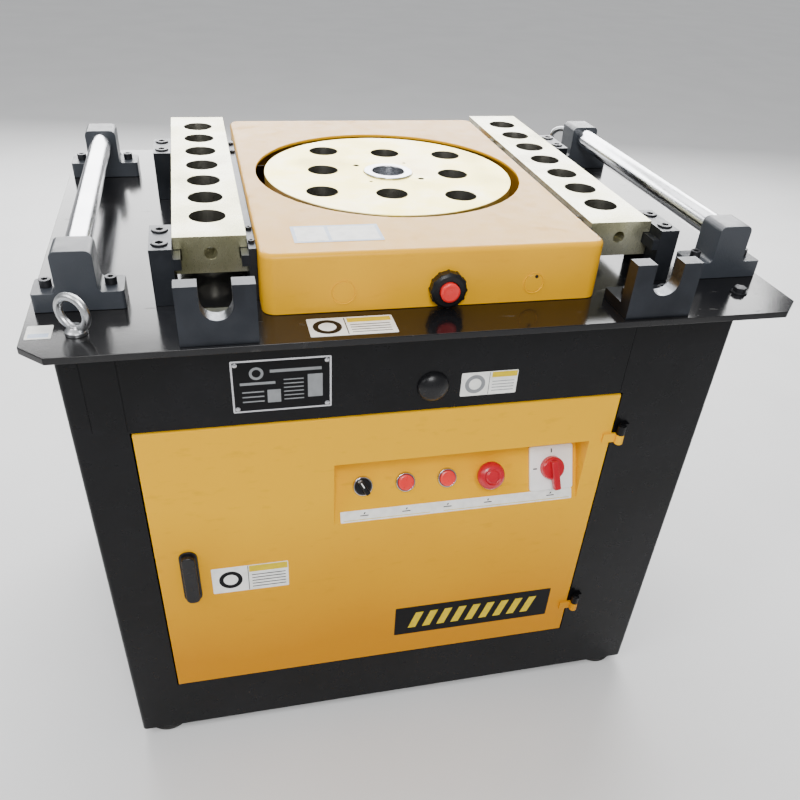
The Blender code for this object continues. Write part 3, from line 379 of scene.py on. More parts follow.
# ---------------------------------------------------------------- cap screws
# Black-oxide socket head screws hold the plates, clamps, cradles and brackets. Each is a turned head with
# a broached hexagon; the ones of a group are one piece.
def lathe(profile, steps=48, corner=0.0):
    """Spin a profile of (radius, height) points round Z; corner rounds the points that are off the axis."""
    made = bmesh.new()
    points = [made.verts.new((radius, 0, height)) for radius, height in profile]
    for first, second in zip(points, points[1:]):
        made.edges.new((first, second))
    if profile[0][0] > 0:
        made.edges.new((points[-1], points[0]))
    if corner:
        turned = [point for point in points if point.co.x > 0]
        bmesh.ops.bevel(made, geom=turned, offset=corner, offset_type="OFFSET", segments=3, profile=0.5,
                        affect="VERTICES", material=-1)
    bmesh.ops.spin(made, geom=made.verts[:] + made.edges[:], cent=(0, 0, 0), axis=(0, 0, 1),
                   angle=2 * math.pi, steps=steps, use_merge=True)
    bmesh.ops.remove_doubles(made, verts=made.verts, dist=0.000002)
    bmesh.ops.recalc_face_normals(made, faces=made.faces)
    return made


def metal(name, colour, tint, roughness, grain=(1, 1, 1), depth=0.00004, metallic=1.0, scale=240.0):
    """Machined or plated metal: grain is the stretch of its tool marks."""
    made = Finish(name)
    marks = made.noise(scale, 4.0, grain)
    cloud = made.noise(14.0, 4.0)
    tone = made.blend(made.spread(cloud, 0.35, 0.65), (*colour, 1), (*tint, 1))
    gloss = made.spread(marks, 0.3, 0.7, roughness - 0.06, roughness + 0.08)
    gloss = gloss + made.spread(cloud, 0.5, 0.8) * 0.06
    return made.surface(marks, depth, Base_Color=tone, Roughness=gloss, Metallic=metallic)


black_oxide = metal("black_oxide", (0.035, 0.036, 0.040), (0.055, 0.055, 0.060), 0.38, metallic=0.8)


def cap_screws(name, places, direction, radius, height, body="root", finish=None):
    """Socket heads seated at the given places, pointing along direction."""
    profile = [(0, height), (radius, height), (radius, 0), (0, 0)]
    key = bmesh.new()
    bmesh.ops.create_cone(key, cap_ends=True, segments=6, radius1=radius * 0.55, radius2=radius * 0.55,
                          depth=height)
    head = bored(lathe(profile, 32, radius * 0.09), moved(key, (0, 0, height * 0.95)))
    heads = [aimed(head.copy(), spot, direction) for spot in places]
    head.free()
    return piece(name, gathered(*heads), finish or black_oxide, body)


SCREW_INSET = 0.015
plate_screws = []
for screw_x in (BACK_PLATE_LOW.x + SCREW_INSET, (BACK_PLATE_LOW.x + BACK_PLATE_HIGH.x) / 2,
                BACK_PLATE_HIGH.x - SCREW_INSET):
    for screw_z in (BACK_PLATE_LOW.z + SCREW_INSET, BACK_PLATE_HIGH.z - SCREW_INSET):
        plate_screws.append((screw_x, BACK_PLATE_HIGH.y - 0.0002, screw_z))
cap_screws("back_plate_screws", plate_screws, (0, 1, 0), 0.0050, 0.0035)


# ---------------------------------------------------------------- floor pan and feet
# A sheet pan closes the cabinet's bottom, and four turned rubber feet with a moulded groove carry it.
def dressed(finish, *nodes):
    """Give CAD nodes whose shape is right their finish."""
    for node in nodes:
        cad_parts[node].data.materials.clear()
        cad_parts[node].data.materials.append(finish)


dressed(black_enamel, "base_pan")
rubber = Finish("foot_rubber")
rubber_grain = rubber.noise(900.0, 2.0)
rubber.surface(rubber_grain, 0.0001, Roughness=rubber.spread(rubber_grain, 0.3, 0.7, 0.70, 0.85),
               Base_Color=rubber.ramp(rubber.noise(60.0), (0.3, (0.012, 0.012, 0.012)),
                                      (0.8, (0.030, 0.029, 0.028))))
for foot_node in ("foot_front_left", "foot_front_right", "foot_rear_left", "foot_rear_right"):
    foot_low, foot_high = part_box(foot_node)
    foot_middle = (foot_low + foot_high) / 2
    foot_radius = (foot_high.x - foot_low.x) / 2
    foot = lathe([(0, foot_high.z), (foot_radius - 0.001, foot_high.z), (foot_radius - 0.001, 0.0105),
                  (foot_radius - 0.003, 0.0095), (foot_radius - 0.003, 0.0080), (foot_radius, 0.0070),
                  (foot_radius, 0.0035), (foot_radius - 0.003, 0), (0, 0)], 64, 0.0006)
    foot.transform(Matrix.Translation((foot_middle.x, foot_middle.y, 0)))
    piece("rubber_" + foot_node, foot, rubber.material, "root", [foot_node])


# ---------------------------------------------------------------- table
# The table is a plain 8 mm plate with cut corners, sprayed and polished like the cabinet, so that it
# mirrors whatever stands on it. Sliding bars leave fine scratches along its front.
table_low, table_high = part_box("table_plate")
TOP = table_high.z
CORNER_CUT = 0.028
SHAFT_OPENING = 0.065
DISC_Y = middle_of("working_disc", "y")
table_enamel = Finish("table_enamel")
table_scratch = table_enamel.spread(table_enamel.noise(34.0, 9.0, (1, 2.5, 1)), 0.64, 0.74)
table_dust = table_enamel.spread(table_enamel.noise(7.0, 6.0), 0.45, 0.75)
table_enamel.surface(
    table_enamel.noise(420.0, 2.0), 0.00003, Specular_IOR_Level=0.32,
    Base_Color=table_enamel.blend(table_scratch * 0.5 + table_dust * 0.25, (0.006, 0.006, 0.007, 1),
                                  (0.045, 0.044, 0.042, 1)),
    Roughness=table_dust * 0.10 + table_scratch * 0.20 + 0.13)
table = rounded(blank(table_low, table_high), CORNER_CUT, 1, upright)
table = bored(table, bore(SHAFT_OPENING, 0, DISC_Y, (table_low.z - 0.02, TOP + 0.02), 96))
piece("table", table, table_enamel.material, "root", ["table_plate"], 0.0008)

PLUG_SCREW = (0.405, -0.3065, TOP)
plug_head = bmesh.new()
bmesh.ops.create_cone(plug_head, cap_ends=True, segments=6, radius1=0.0085, radius2=0.0085, depth=0.006)
plug_washer = lathe([(0, 0.0018), (0.0105, 0.0018), (0.0105, 0), (0, 0)], 32, 0.0003)
plug_screw = moved(gathered(moved(rounded(plug_head, 0.0007, 2), (0, 0, 0.0045)), plug_washer), PLUG_SCREW)
piece("table_plug_screw", plug_screw, black_oxide, "root")


# ---------------------------------------------------------------- header plug
# A moulded black plug snaps into a spare cable hole between the table and the door.
def plastic(name, colour, roughness, clear=0.0, depth=0.00003, shine=0.5):
    """Moulded plastic with a fine spark-eroded grain and faint flow marks."""
    made = Finish(name)
    light = tuple(min(1.0, part * 1.18 + 0.004) for part in colour)
    tone = made.blend(made.spread(made.noise(24.0, 3.0), 0.35, 0.7), (*colour, 1), (*light, 1))
    gloss = made.spread(made.noise(180.0, 3.0), 0.3, 0.7, roughness - 0.04, roughness + 0.05)
    return made.surface(made.noise(1500.0, 1.0), depth, Base_Color=tone, Roughness=gloss, Coat_Weight=clear,
                        Specular_IOR_Level=shine)


black_plastic = plastic("black_plastic", (0.006, 0.006, 0.007), 0.30, shine=0.30)
plug_dome = [(0, 0.0120)]
for degree in range(75, 0, -8):
    plug_dome.append((0.021 * math.cos(math.radians(degree)), 0.012 * math.sin(math.radians(degree))))
header_plug = lathe(plug_dome + [(0.021, 0.0003), (0.0138, 0.0003), (0.0138, -0.010), (0, -0.010)], 64)
piece("header_plug", aimed(header_plug, (0, FRONT, PLUG_Z), (0, -1, 0)), black_plastic, "root",
      ["header_cap"])


# ---------------------------------------------------------------- lifting eyes
# Two galvanised eye bolts stand at opposite corners of the table: a forged ring on a turned collar.
galvanised = metal("galvanised_steel", (0.62, 0.63, 0.64), (0.46, 0.47, 0.49), 0.32, depth=0.00020,
                   scale=150.0)
EYE_TURN = math.radians(-34)
RING_RADIUS = 0.0180
RING_WIRE = 0.0047
RING_HEIGHT = 0.0245
for eye_node in ("eye_bolt_front_left", "eye_bolt_rear_right"):
    eye_low, eye_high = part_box(eye_node)
    eye_middle = (eye_low + eye_high) / 2
    ring = bmesh.new()
    bmesh.ops.create_circle(ring, segments=20, radius=RING_WIRE, cap_ends=False)
    bmesh.ops.rotate(ring, verts=ring.verts, matrix=Matrix.Rotation(math.pi / 2, 3, "X"))
    moved(ring, (RING_RADIUS, 0, 0))
    bmesh.ops.spin(ring, geom=ring.verts[:] + ring.edges[:], cent=(0, 0, 0), axis=(0, 0, 1),
                   angle=2 * math.pi, steps=64, use_merge=True)
    bmesh.ops.remove_doubles(ring, verts=ring.verts, dist=0.000002)
    ring.transform(Matrix.Translation((0, 0, RING_HEIGHT)) @ Matrix.Rotation(EYE_TURN, 4, "Z")
                   @ Matrix.Rotation(math.pi / 2, 4, "X"))
    collar = lathe([(0, 0.0105), (0.0060, 0.0105), (0.0070, 0.0080), (0.0100, 0.0058), (0.0120, 0.0040),
                    (0.0120, 0), (0, 0)], 48, 0.0005)
    eye = moved(bored(ring, collar, "UNION"), (eye_middle.x, eye_middle.y, eye_low.z))
    piece("lifting_" + eye_node, eye, galvanised, "root", [eye_node], crease=40)


# ---------------------------------------------------------------- yellow cover
# A welded sheet cover over the gearbox head, sprayed machine yellow, with a round opening for the disc.
# Two knock-outs in its front are closed by painted-over blanking discs.
yellow_enamel = paint("yellow_enamel", (0.82, 0.41, 0.002), (0.68, 0.31, 0.002), 0.34, shine=0.22)
cover_low, cover_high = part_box("gearbox_cover")
COVER_WALL = 0.004
COVER_OPENING = 0.187
BUTTON_X = middle_of("cover_button_collar", "x")
BUTTON_Z = middle_of("cover_button_collar", "z")
cover = rounded(blank(cover_low, cover_high), 0.016, 6, upright)
rounded(cover, 0.006, 4, lambda run, middle: middle.z > cover_high.z - 0.0001)
cover_wall = Vector((COVER_WALL, COVER_WALL, 0))
hollow = rounded(blank(cover_low + cover_wall - Vector((0, 0, 0.02)),
                       cover_high - cover_wall - Vector((0, 0, COVER_WALL))), 0.012, 4, upright)
cover = bored(cover, hollow)
cover_cuts = gathered(bore(COVER_OPENING, 0, DISC_Y, (cover_high.z - 0.02, cover_high.z + 0.02), 128),
                      bore(0.0146, BUTTON_X, (cover_low.y - 0.02, cover_low.y + 0.02), BUTTON_Z))
piece("cover", bored(cover, cover_cuts), yellow_enamel, "root", ["gearbox_cover"], 0.0009)
blanking_discs = []
for knockout_x, rim in ((-0.114, 0.0150), (0.119, 0.0135)):
    blanking = lathe([(0, 0.0004), (rim - 0.0026, 0.0004), (rim - 0.0018, -0.0003), (rim - 0.0012, 0.0009),
                      (rim, 0.0009), (rim, -0.0010), (0, -0.0010)], 48, 0.0002)
    blanking_discs.append(aimed(blanking, (knockout_x, cover_low.y, TOP + 0.0245), (0, -1, 0)))
piece("blanking_discs", gathered(*blanking_discs), yellow_enamel, "root")
# A flat black disc on the right blanking disc stands for a small hole; its black is painted shade for the
# hole's inside.
hole_shade_disc = lathe([(0, 0.0003), (0.0021, 0.0003), (0.0021, -0.0006), (0, -0.0006)], 20, 0.0001)
piece("blanking_disc_hole_shade", aimed(hole_shade_disc, (0.1215, cover_low.y - 0.0009, TOP + 0.0330), (0, -1, 0)),
      black_plastic, "root")


# ---------------------------------------------------------------- cover push button
# A panel push button on the cover's front: a ribbed black collar screwed up against the sheet, with a
# moulded red cap.
red_plastic = plastic("red_plastic", (0.72, 0.022, 0.020), 0.30, 0.25)
cover_face = Vector((BUTTON_X, cover_low.y, BUTTON_Z))
RIB_CIRCLE = 0.0202
collar = lathe([(0.0125, 0.0130), (0.0185, 0.0130), (0.0215, 0.0105), (0.0215, 0.0003), (0.0140, 0.0003),
                (0.0140, -0.0220), (0.0045, -0.0220), (0.0045, 0.0020), (0.0125, 0.0020)], 64, 0.0004)
ribs = []
for rib in range(12):
    rib_angle = math.radians(30 * rib)
    ribs.append(bore(0.0026, RIB_CIRCLE * math.cos(rib_angle), RIB_CIRCLE * math.sin(rib_angle),
                     (0.0008, 0.0105), 16))
piece("cover_button_housing", aimed(gathered(collar, *ribs), cover_face, (0, -1, 0)), black_plastic, "root",
      ["cover_button_collar"])


def push_cap(rim, top, seat, stem, length):
    """A push button's cap: a slightly dished face, a rounded rim and the stem behind."""
    return lathe([(0, top - 0.0006), (rim * 0.55, top - 0.0003), (rim * 0.80, top), (rim, top - 0.0010),
                  (rim, seat), (stem, seat), (stem, -length), (0, -length)], 48, 0.0004)


piece("cover_button", aimed(push_cap(0.0118, 0.0180, 0.0070, 0.0040, 0.0100), cover_face, (0, -1, 0)),
      red_plastic, "cover_button", ["cover_button_cap"])


# ---------------------------------------------------------------- bending disc and centre bush
# The disc is turned from plate and yellow-passivated: eight pin holes on a square pattern, two fixing
# holes and two jacking holes. A hardened, ground bush carries the centre pin.
def passivated(name, grain, olive, straw, pale, pink, ringed=False):
    """Zinc plating, yellow-passivated: straw, olive and faint pink clouds over the tool marks."""
    made = Finish(name)
    cloud = made.noise(11.0, 5.0)
    tone = made.ramp(cloud, (0.30, olive), (0.45, straw), (0.58, pale), (0.75, pink))
    marks = made.noise(260.0, 4.0, grain)
    if ringed:
        rings = made.node("ShaderNodeTexWave", {"wave_type": "RINGS", "rings_direction": "Z"},
                          {"Vector": made.place(centre=(0, DISC_Y, 0)), "Scale": 170.0, "Distortion": 0.4},
                          out=1)
        marks = rings * 0.6 + marks * 0.4
    gloss = made.spread(marks, 0.2, 0.8, 0.22, 0.38)
    return made.surface(marks, 0.00003, Base_Color=tone, Roughness=gloss, Metallic=0.85)


def tinted(made, number, wanted=None):
    """Give faces another of a piece's finishes; wanted picks them by the face and its middle."""
    for face in made.faces:
        if wanted is None or wanted(face, face.calc_center_median()):
            face.material_index = number
    return made


def shade_hole_walls(made, wanted):
    """Give the walls of the holes the second finish, a darker steel that paints the shade inside the holes;
    wanted picks them by the middle of a face.
    """
    return tinted(made, 1, lambda face, middle: abs(face.normal.z) < 0.5 and wanted(middle))


# The hole walls' steel is darker and browner than the plating round them: painted shade inside the holes.
hole_wall_steel_shaded = metal("hole_wall_steel_painted_shade", (0.46, 0.45, 0.41), (0.30, 0.29, 0.26), 0.30, (1, 1, 7))
disc_zinc = passivated("disc_zinc", (1, 1, 1), (0.52, 0.43, 0.07), (0.76, 0.64, 0.16), (0.80, 0.72, 0.36),
                       (0.62, 0.47, 0.20), True)
DISC_TURN = math.radians(-9.1)
PIN_PITCH = 0.0928
PIN_HOLE = 0.0215
FIXING_CIRCLE = 0.052
BUSH_SEAT = 0.0348
disc_low, disc_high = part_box("working_disc")
disc_radius = (disc_high.x - disc_low.x) / 2
disc = lathe([(BUSH_SEAT, disc_high.z), (disc_radius, disc_high.z), (disc_radius, disc_low.z),
              (BUSH_SEAT, disc_low.z)], 160, 0.0012)
moved(disc, (0, DISC_Y, 0))
through = (disc_low.z - 0.01, disc_high.z + 0.01)
disc_holes = []
for column in (-1, 0, 1):
    for row in (-1, 0, 1):
        hole = Vector((column * PIN_PITCH, row * PIN_PITCH, 0))
        hole.rotate(Matrix.Rotation(DISC_TURN, 3, "Z"))
        if column or row:
            disc_holes.append(bore(PIN_HOLE, hole.x, DISC_Y + hole.y, through, 64))
for bearing, radius in ((150, 0.0045), (-30, 0.0045), (60, 0.0025), (-120, 0.0025)):
    angle = DISC_TURN + math.radians(bearing)
    disc_holes.append(bore(radius, FIXING_CIRCLE * math.cos(angle), DISC_Y + FIXING_CIRCLE * math.sin(angle),
                           through, 32))
disc = bored(disc, gathered(*disc_holes))
shade_hole_walls(disc, lambda middle: (middle.xy - Vector((0, DISC_Y))).length < disc_radius - 0.01)
piece("disc", disc, [disc_zinc, hole_wall_steel_shaded], "disc", ["working_disc"], 0.0009)
turned_steel = metal("turned_steel", (0.64, 0.65, 0.67), (0.56, 0.57, 0.60), 0.24, (1, 1, 8))
bush_low, bush_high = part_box("centre_bush")
bush = lathe([(0.0230, bush_high.z), (0.0345, bush_high.z), (0.0345, bush_low.z), (0.0230, bush_low.z)], 96,
             0.0012)
piece("hardened_bush", moved(bush, (0, DISC_Y, 0)), turned_steel, "disc", ["centre_bush"])


# ---------------------------------------------------------------- hole bars
# Two ground bars with seven stop-pin holes, a groove along each side for the clamps' tongues and a
# threaded hole in the end that takes the adjusting screw. They are plated like the disc.
bar_zinc = passivated("bar_zinc", (14, 1, 1), (0.36, 0.35, 0.19), (0.56, 0.54, 0.34), (0.66, 0.65, 0.50),
                      (0.46, 0.43, 0.32))
BAR_PITCH = 0.0677
FIRST_HOLE = 0.066
STOP_HOLE = 0.0220
GROOVE_DEPTH = 0.009
GROOVE_LOW = TOP + 0.0417
GROOVE_HIGH = TOP + 0.0558
for side in ("left", "right"):
    bar_low, bar_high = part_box(side + "_hole_bar")
    bar_x = middle_of(side + "_hole_bar", "x")
    bar_cuts = []
    for number in range(7):
        hole_y = bar_low.y + FIRST_HOLE + number * BAR_PITCH
        bar_cuts.append(bore(STOP_HOLE, bar_x, hole_y, (bar_low.z - 0.01, bar_high.z + 0.01), 64))
    for groove_x in (bar_low.x, bar_high.x):
        bar_cuts.append(blank((groove_x - GROOVE_DEPTH, bar_low.y - 0.01, GROOVE_LOW),
                              (groove_x + GROOVE_DEPTH, bar_high.y + 0.01, GROOVE_HIGH)))
    bar_cuts.append(bore(0.0075, bar_x, (bar_low.y - 0.01, bar_low.y + 0.032), TOP + 0.050, 32))
    bar = bored(blank(bar_low, bar_high), gathered(*bar_cuts))
    shade_hole_walls(bar, lambda middle: abs(middle.x - bar_x) < STOP_HOLE + 0.0004
                 and bar_low.y + 0.02 < middle.y < bar_high.y - 0.02)
    piece(side + "_bar", bar, [bar_zinc, hole_wall_steel_shaded], side + "_bar", [side + "_hole_bar"],
          0.0007)


# ---------------------------------------------------------------- clamps and inner guides
# Milled blocks, oiled and blackened, whose tongues run in the bars' grooves. Two M12 cap screws sit in
# counterbores in each outer clamp, and small ones hold the strip between the bar and the cover.
blackened = metal("blackened_steel", (0.016, 0.018, 0.023), (0.034, 0.038, 0.046), 0.34, (1, 7, 1),
                  metallic=0.7)
CLAMP_SCREW_SPACING = 0.041
CLAMP_SCREW_OUT = 0.0137
SINK_RADIUS = 0.0098
SINK_DEPTH = 0.010
TONGUE_LOW = TOP + 0.0422
TONGUE_HIGH = TOP + 0.0553
guide_screw_places = []
for side, outward in (("left", -1), ("right", 1)):
    bar_low, bar_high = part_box(side + "_hole_bar")
    bar_outer = bar_high.x if outward > 0 else bar_low.x
    bar_inner = bar_low.x if outward > 0 else bar_high.x
    screw_places = []
    for end in ("front", "rear"):
        clamp_low, clamp_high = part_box(f"{side}_{end}_clamp")
        face = bar_outer + outward * 0.0005
        outer = clamp_high.x if outward > 0 else clamp_low.x
        block = blank((face, clamp_low.y, clamp_low.z), (outer, clamp_high.y, clamp_high.z))
        tip = bar_outer - outward * 0.008
        root = bar_outer + outward * 0.010
        tongue = blank((tip, clamp_low.y + 0.0002, TONGUE_LOW), (root, clamp_high.y - 0.0002, TONGUE_HIGH))
        block = bored(block, tongue, "UNION")
        sinks = []
        for number in (-0.5, 0.5):
            spot = Vector((bar_outer + outward * CLAMP_SCREW_OUT,
                           (clamp_low.y + clamp_high.y) / 2 + number * CLAMP_SCREW_SPACING,
                           clamp_high.z - SINK_DEPTH))
            sinks.append(rod(SINK_RADIUS, spot, spot + Vector((0, 0, 0.03)), 40))
            screw_places.append(spot)
        piece(f"{side}_{end}_clamp_block", bored(block, gathered(*sinks)), blackened, "root",
              [f"{side}_{end}_clamp"], 0.0008)
    cap_screws(side + "_clamp_screws", screw_places, (0, 0, 1), 0.0090, 0.0120)
    guide_low, guide_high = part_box(side + "_inner_guide")
    strip_near = bar_inner - outward * 0.0005
    strip_far = guide_low.x if outward > 0 else guide_high.x
    strip = blank((strip_near, guide_low.y, guide_low.z), (strip_far, guide_high.y, guide_high.z))
    rail_tip = bar_inner + outward * 0.008
    rail_root = bar_inner - outward * 0.004
    rail = blank((rail_tip, guide_low.y + 0.0002, TONGUE_LOW),
                 (rail_root, guide_high.y - 0.0002, TONGUE_HIGH))
    piece(side + "_guide_strip", bored(strip, rail, "UNION"), blackened, "root",
          [side + "_inner_guide"], 0.0006)
    for spot_y in (guide_low.y + 0.020, guide_low.y + 0.062, guide_high.y - 0.062, guide_high.y - 0.020):
        guide_screw_places.append(((strip_near + strip_far) / 2, spot_y, guide_high.z))
cap_screws("guide_screws", guide_screw_places, (0, 0, 1), 0.0038, 0.0030)


# ---------------------------------------------------------------- cradles
# In line with each bar's threaded end stands a U-shaped post, milled from block, that carries the
# adjusting screw. Its slot is left bare, and its foot is held by two cap screws behind it. The slot's bare
# steel is given a dark tone, partly painted shade for the depth of the slot.
# Bare milled steel for the slot, darkened so that it also paints the shade in the slot.
slot_steel_and_shade = metal("bare_milled_steel_and_painted_shade", (0.30, 0.31, 0.33), (0.19, 0.20, 0.22), 0.30, (1, 6, 1))
SLOT_RADIUS = 0.0175
SLOT_Z = TOP + 0.0465
POST_DEPTH = 0.020
FOOT_TOP = TOP + 0.014
CRADLE_SCREW = 0.024
cradle_screw_places = []
for side in ("left", "right"):
    cradle_low, cradle_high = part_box(side + "_cradle")
    cradle_x = middle_of(side + "_cradle", "x")
    post_back = cradle_low.y + POST_DEPTH
    post = blank(cradle_low, (cradle_high.x, post_back, cradle_high.z))
    foot = blank((cradle_low.x + 0.0002, cradle_low.y + 0.01, cradle_low.z + 0.0001),
                 (cradle_high.x - 0.0002, cradle_high.y, FOOT_TOP))
    slot = bored(bore(SLOT_RADIUS, cradle_x, (cradle_low.y - 0.01, post_back + 0.01), SLOT_Z, 64),
                 blank((cradle_x - SLOT_RADIUS, cradle_low.y - 0.01, SLOT_Z),
                       (cradle_x + SLOT_RADIUS, post_back + 0.01, cradle_high.z + 0.02)), "UNION")
    cradle = bored(bored(post, foot, "UNION"), slot)
    tinted(cradle, 1, lambda face, middle: abs(middle.x - cradle_x) < SLOT_RADIUS + 0.0001
           and abs(face.normal.y) < 0.5 and middle.z > TOP + 0.02)
    piece(side + "_screw_cradle", cradle, [blackened, slot_steel_and_shade], "root", [side + "_cradle"],
          0.0007)
    for offset in (-CRADLE_SCREW, CRADLE_SCREW):
        cradle_screw_places.append((cradle_x + offset, (post_back + cradle_high.y) / 2, FOOT_TOP))
cap_screws("cradle_screws", cradle_screw_places, (0, 0, 1), 0.0065, 0.0080)


# ---------------------------------------------------------------- rollers and brackets
# Each side has one long ground roller whose journals turn in two cast brackets. A bracket's flange is
# bolted down by two cap screws, and its upright has rounded shoulders and a fillet at the root.
ground_steel = metal("ground_steel", (0.70, 0.71, 0.73), (0.60, 0.61, 0.64), 0.17, (1, 1, 1), 0.00002)
bracket_enamel = paint("bracket_enamel", (0.034, 0.039, 0.048), (0.060, 0.066, 0.078), 0.36, 0.0002,
                       shine=0.5)
BRACKET_HALF = 0.0225
BRACKET_SCREW = 0.0352
BARREL_HALF = 0.2165
JOURNAL = 0.008
FLANGE_TOP = TOP + 0.022
bracket_screw_places = []
for side in ("left", "right"):
    roller_low, roller_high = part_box(side + "_roller")
    roller_x = middle_of(side + "_roller", "x")
    roller_z = middle_of(side + "_roller", "z")
    roller_radius = (roller_high.z - roller_low.z) / 2
    end = roller_high.y
    roller = lathe([(0, end), (JOURNAL, end), (JOURNAL, BARREL_HALF), (roller_radius, BARREL_HALF),
                    (roller_radius, -BARREL_HALF), (JOURNAL, -BARREL_HALF), (JOURNAL, -end), (0, -end)], 96,
                   0.0008)
    piece(side + "_ground_roller", aimed(roller, (roller_x, 0, roller_z), (0, 1, 0)), ground_steel,
          side + "_roller", [side + "_roller"])
    for end_name in ("front", "rear"):
        bracket_low, bracket_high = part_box(f"{side}_{end_name}_bracket")
        bracket_y = (bracket_low.y + bracket_high.y) / 2
        base = bracket_low.z
        outline = [(bracket_low.x, base), (bracket_high.x, base), (bracket_high.x, FLANGE_TOP),
                   (roller_x + BRACKET_HALF, FLANGE_TOP), (roller_x + BRACKET_HALF, bracket_high.z),
                   (roller_x - BRACKET_HALF, bracket_high.z), (roller_x - BRACKET_HALF, FLANGE_TOP),
                   (bracket_low.x, FLANGE_TOP)]
        bracket = bmesh.new()
        profile_face = bracket.faces.new([bracket.verts.new((x, bracket_low.y, z)) for x, z in outline])
        grown = bmesh.ops.extrude_face_region(bracket, geom=[profile_face])
        far_face = [item for item in grown["geom"] if isinstance(item, bmesh.types.BMVert)]
        bmesh.ops.translate(bracket, verts=far_face, vec=(0, bracket_high.y - bracket_low.y, 0))
        rounded(bracket, 0.0075, 4, lambda run, middle: deep(run, middle)
                and middle.z > bracket_high.z - 0.0001)
        rounded(bracket, 0.0050, 4, lambda run, middle: deep(run, middle)
                and abs(middle.z - FLANGE_TOP) < 0.0001 and abs(middle.x - roller_x) < BRACKET_HALF + 0.001)
        rounded(bracket, 0.0040, 3, lambda run, middle: upright(run, middle) and middle.z < FLANGE_TOP
                and abs(middle.x - roller_x) > BRACKET_HALF + 0.01)
        inner_y = bracket_high.y if end_name == "front" else bracket_low.y
        inward = 1 if end_name == "front" else -1
        seat = bore(0.0086, roller_x, (inner_y + inward * 0.01, inner_y - inward * 0.021), roller_z)
        piece(f"{side}_{end_name}_roller_bracket", bored(bracket, seat), bracket_enamel, "root",
              [f"{side}_{end_name}_bracket"], 0.0007)
        for offset in (-BRACKET_SCREW, BRACKET_SCREW):
            bracket_screw_places.append((roller_x + offset, bracket_y, FLANGE_TOP))
cap_screws("bracket_screws", bracket_screw_places, (0, 0, 1), 0.0068, 0.0088)


# ---------------------------------------------------------------- labels and data plate
# Printed vinyl labels without wording: plain fields, rules and a ring. The data plate is black anodised
# sheet with a bright border and four rivets; its fields are left blank.
def ink(name, colour, roughness=0.42, shine=0.25):
    """Printed vinyl with a faint mottle in the colour."""
    made = Finish(name)
    faded = tuple(part * 0.86 for part in colour)
    tone = made.blend(made.spread(made.noise(90.0, 4.0), 0.4, 0.7), (*colour, 1), (*faded, 1))
    return made.surface(made.noise(700.0, 2.0), 0.00002, Base_Color=tone,
                        Roughness=made.spread(made.noise(130.0, 3.0), 0.3, 0.7, roughness - 0.05,
                                              roughness + 0.05), Specular_IOR_Level=shine)


white_ink = ink("white_vinyl", (0.90, 0.90, 0.86))
yellow_ink = ink("yellow_vinyl", (0.72, 0.52, 0.004))
grey_ink = ink("grey_vinyl", (0.25, 0.26, 0.27))
black_ink = ink("black_vinyl", (0.005, 0.005, 0.006), 0.36, 0.12)
blue_ink = ink("pale_blue_vinyl", (0.55, 0.64, 0.78))
bright_trim = metal("bright_trim", (0.62, 0.62, 0.64), (0.52, 0.52, 0.55), 0.30, (8, 1, 1))
UPRIGHT_FACE = math.pi / 2


def label(name, origin, lean, size, ground, fields, body="root", ring=None):
    """A label on a face: origin is its low left corner, lean tips it from lying flat to upright. A field is
    (left, low, right, high, finish) and may end in a slant; ring is (x, y, radius, finish)."""
    finishes = [ground]
    film = 0.0004
    shapes = [rounded(blank((0, 0, 0), (*size, film)), 0.0015, 3, upright)]
    for number, (left, low, right, high, tint, *slant) in enumerate(fields):
        if tint not in finishes:
            finishes.append(tint)
        field = blank((left, low, film - 0.0001), (right, high, film + 0.00006 + 0.00001 * number))
        lean_over = sum(slant)
        field.transform(Matrix(((1, lean_over, 0, -lean_over * low), (0, 1, 0, 0), (0, 0, 1, 0),
                                (0, 0, 0, 1))))
        shapes.append(tinted(field, finishes.index(tint)))
    if ring:
        mark = lathe([(ring[2] * 0.62, 0.0004), (ring[2], 0.0004), (ring[2], 0), (ring[2] * 0.62, 0)], 40)
        shapes.append(tinted(moved(mark, (ring[0], ring[1], film - 0.0001)), len(finishes)))
        finishes.append(ring[3])
    whole = gathered(*shapes)
    whole.transform(Matrix.Translation(origin) @ Matrix.Rotation(lean, 4, "X"))
    return piece(name, whole, finishes, body)


def rules(left, low, right, high, count, tint):
    """Even thin rules, standing for the lines of a blank form."""
    pitch = (high - low) / count
    return [(left, low + pitch * (row + 0.3), right, low + pitch * (row + 0.55), tint)
            for row in range(count)]


plate_size = (0.120, 0.0715)
BORDER = 0.0022
RIVET_INSET = 0.0055
plate_fields = [(BORDER, BORDER, plate_size[0] - BORDER, plate_size[1] - BORDER, black_ink)]
plate_fields += [(0.046, 0.0535, 0.108, 0.0575, grey_ink), (0.010, 0.038, 0.052, 0.0415, grey_ink),
                 (0.042, 0.012, 0.058, 0.030, grey_ink), (0.091, 0.016, 0.109, 0.048, grey_ink)]
plate_fields += rules(0.012, 0.012, 0.038, 0.032, 3, grey_ink)
plate_fields += rules(0.062, 0.013, 0.086, 0.046, 6, grey_ink)
data_plate_place = Vector((-0.250, FRONT - 0.0002, TOP - 0.1205))
label("data_plate", data_plate_place, UPRIGHT_FACE, plate_size, bright_trim, plate_fields,
      ring=(0.030, 0.0535, 0.0085, grey_ink))
rivets = []
for rivet_x in (RIVET_INSET, plate_size[0] - RIVET_INSET):
    for rivet_z in (RIVET_INSET, plate_size[1] - RIVET_INSET):
        rivet = lathe([(0, 0.0012), (0.0016, 0.0011), (0.0028, 0.0005), (0.0030, 0), (0, 0)], 24)
        rivets.append(aimed(rivet, data_plate_place + Vector((rivet_x, -0.0004, rivet_z)), (0, -1, 0)))
piece("data_plate_rivets", gathered(*rivets), bright_trim, "root")
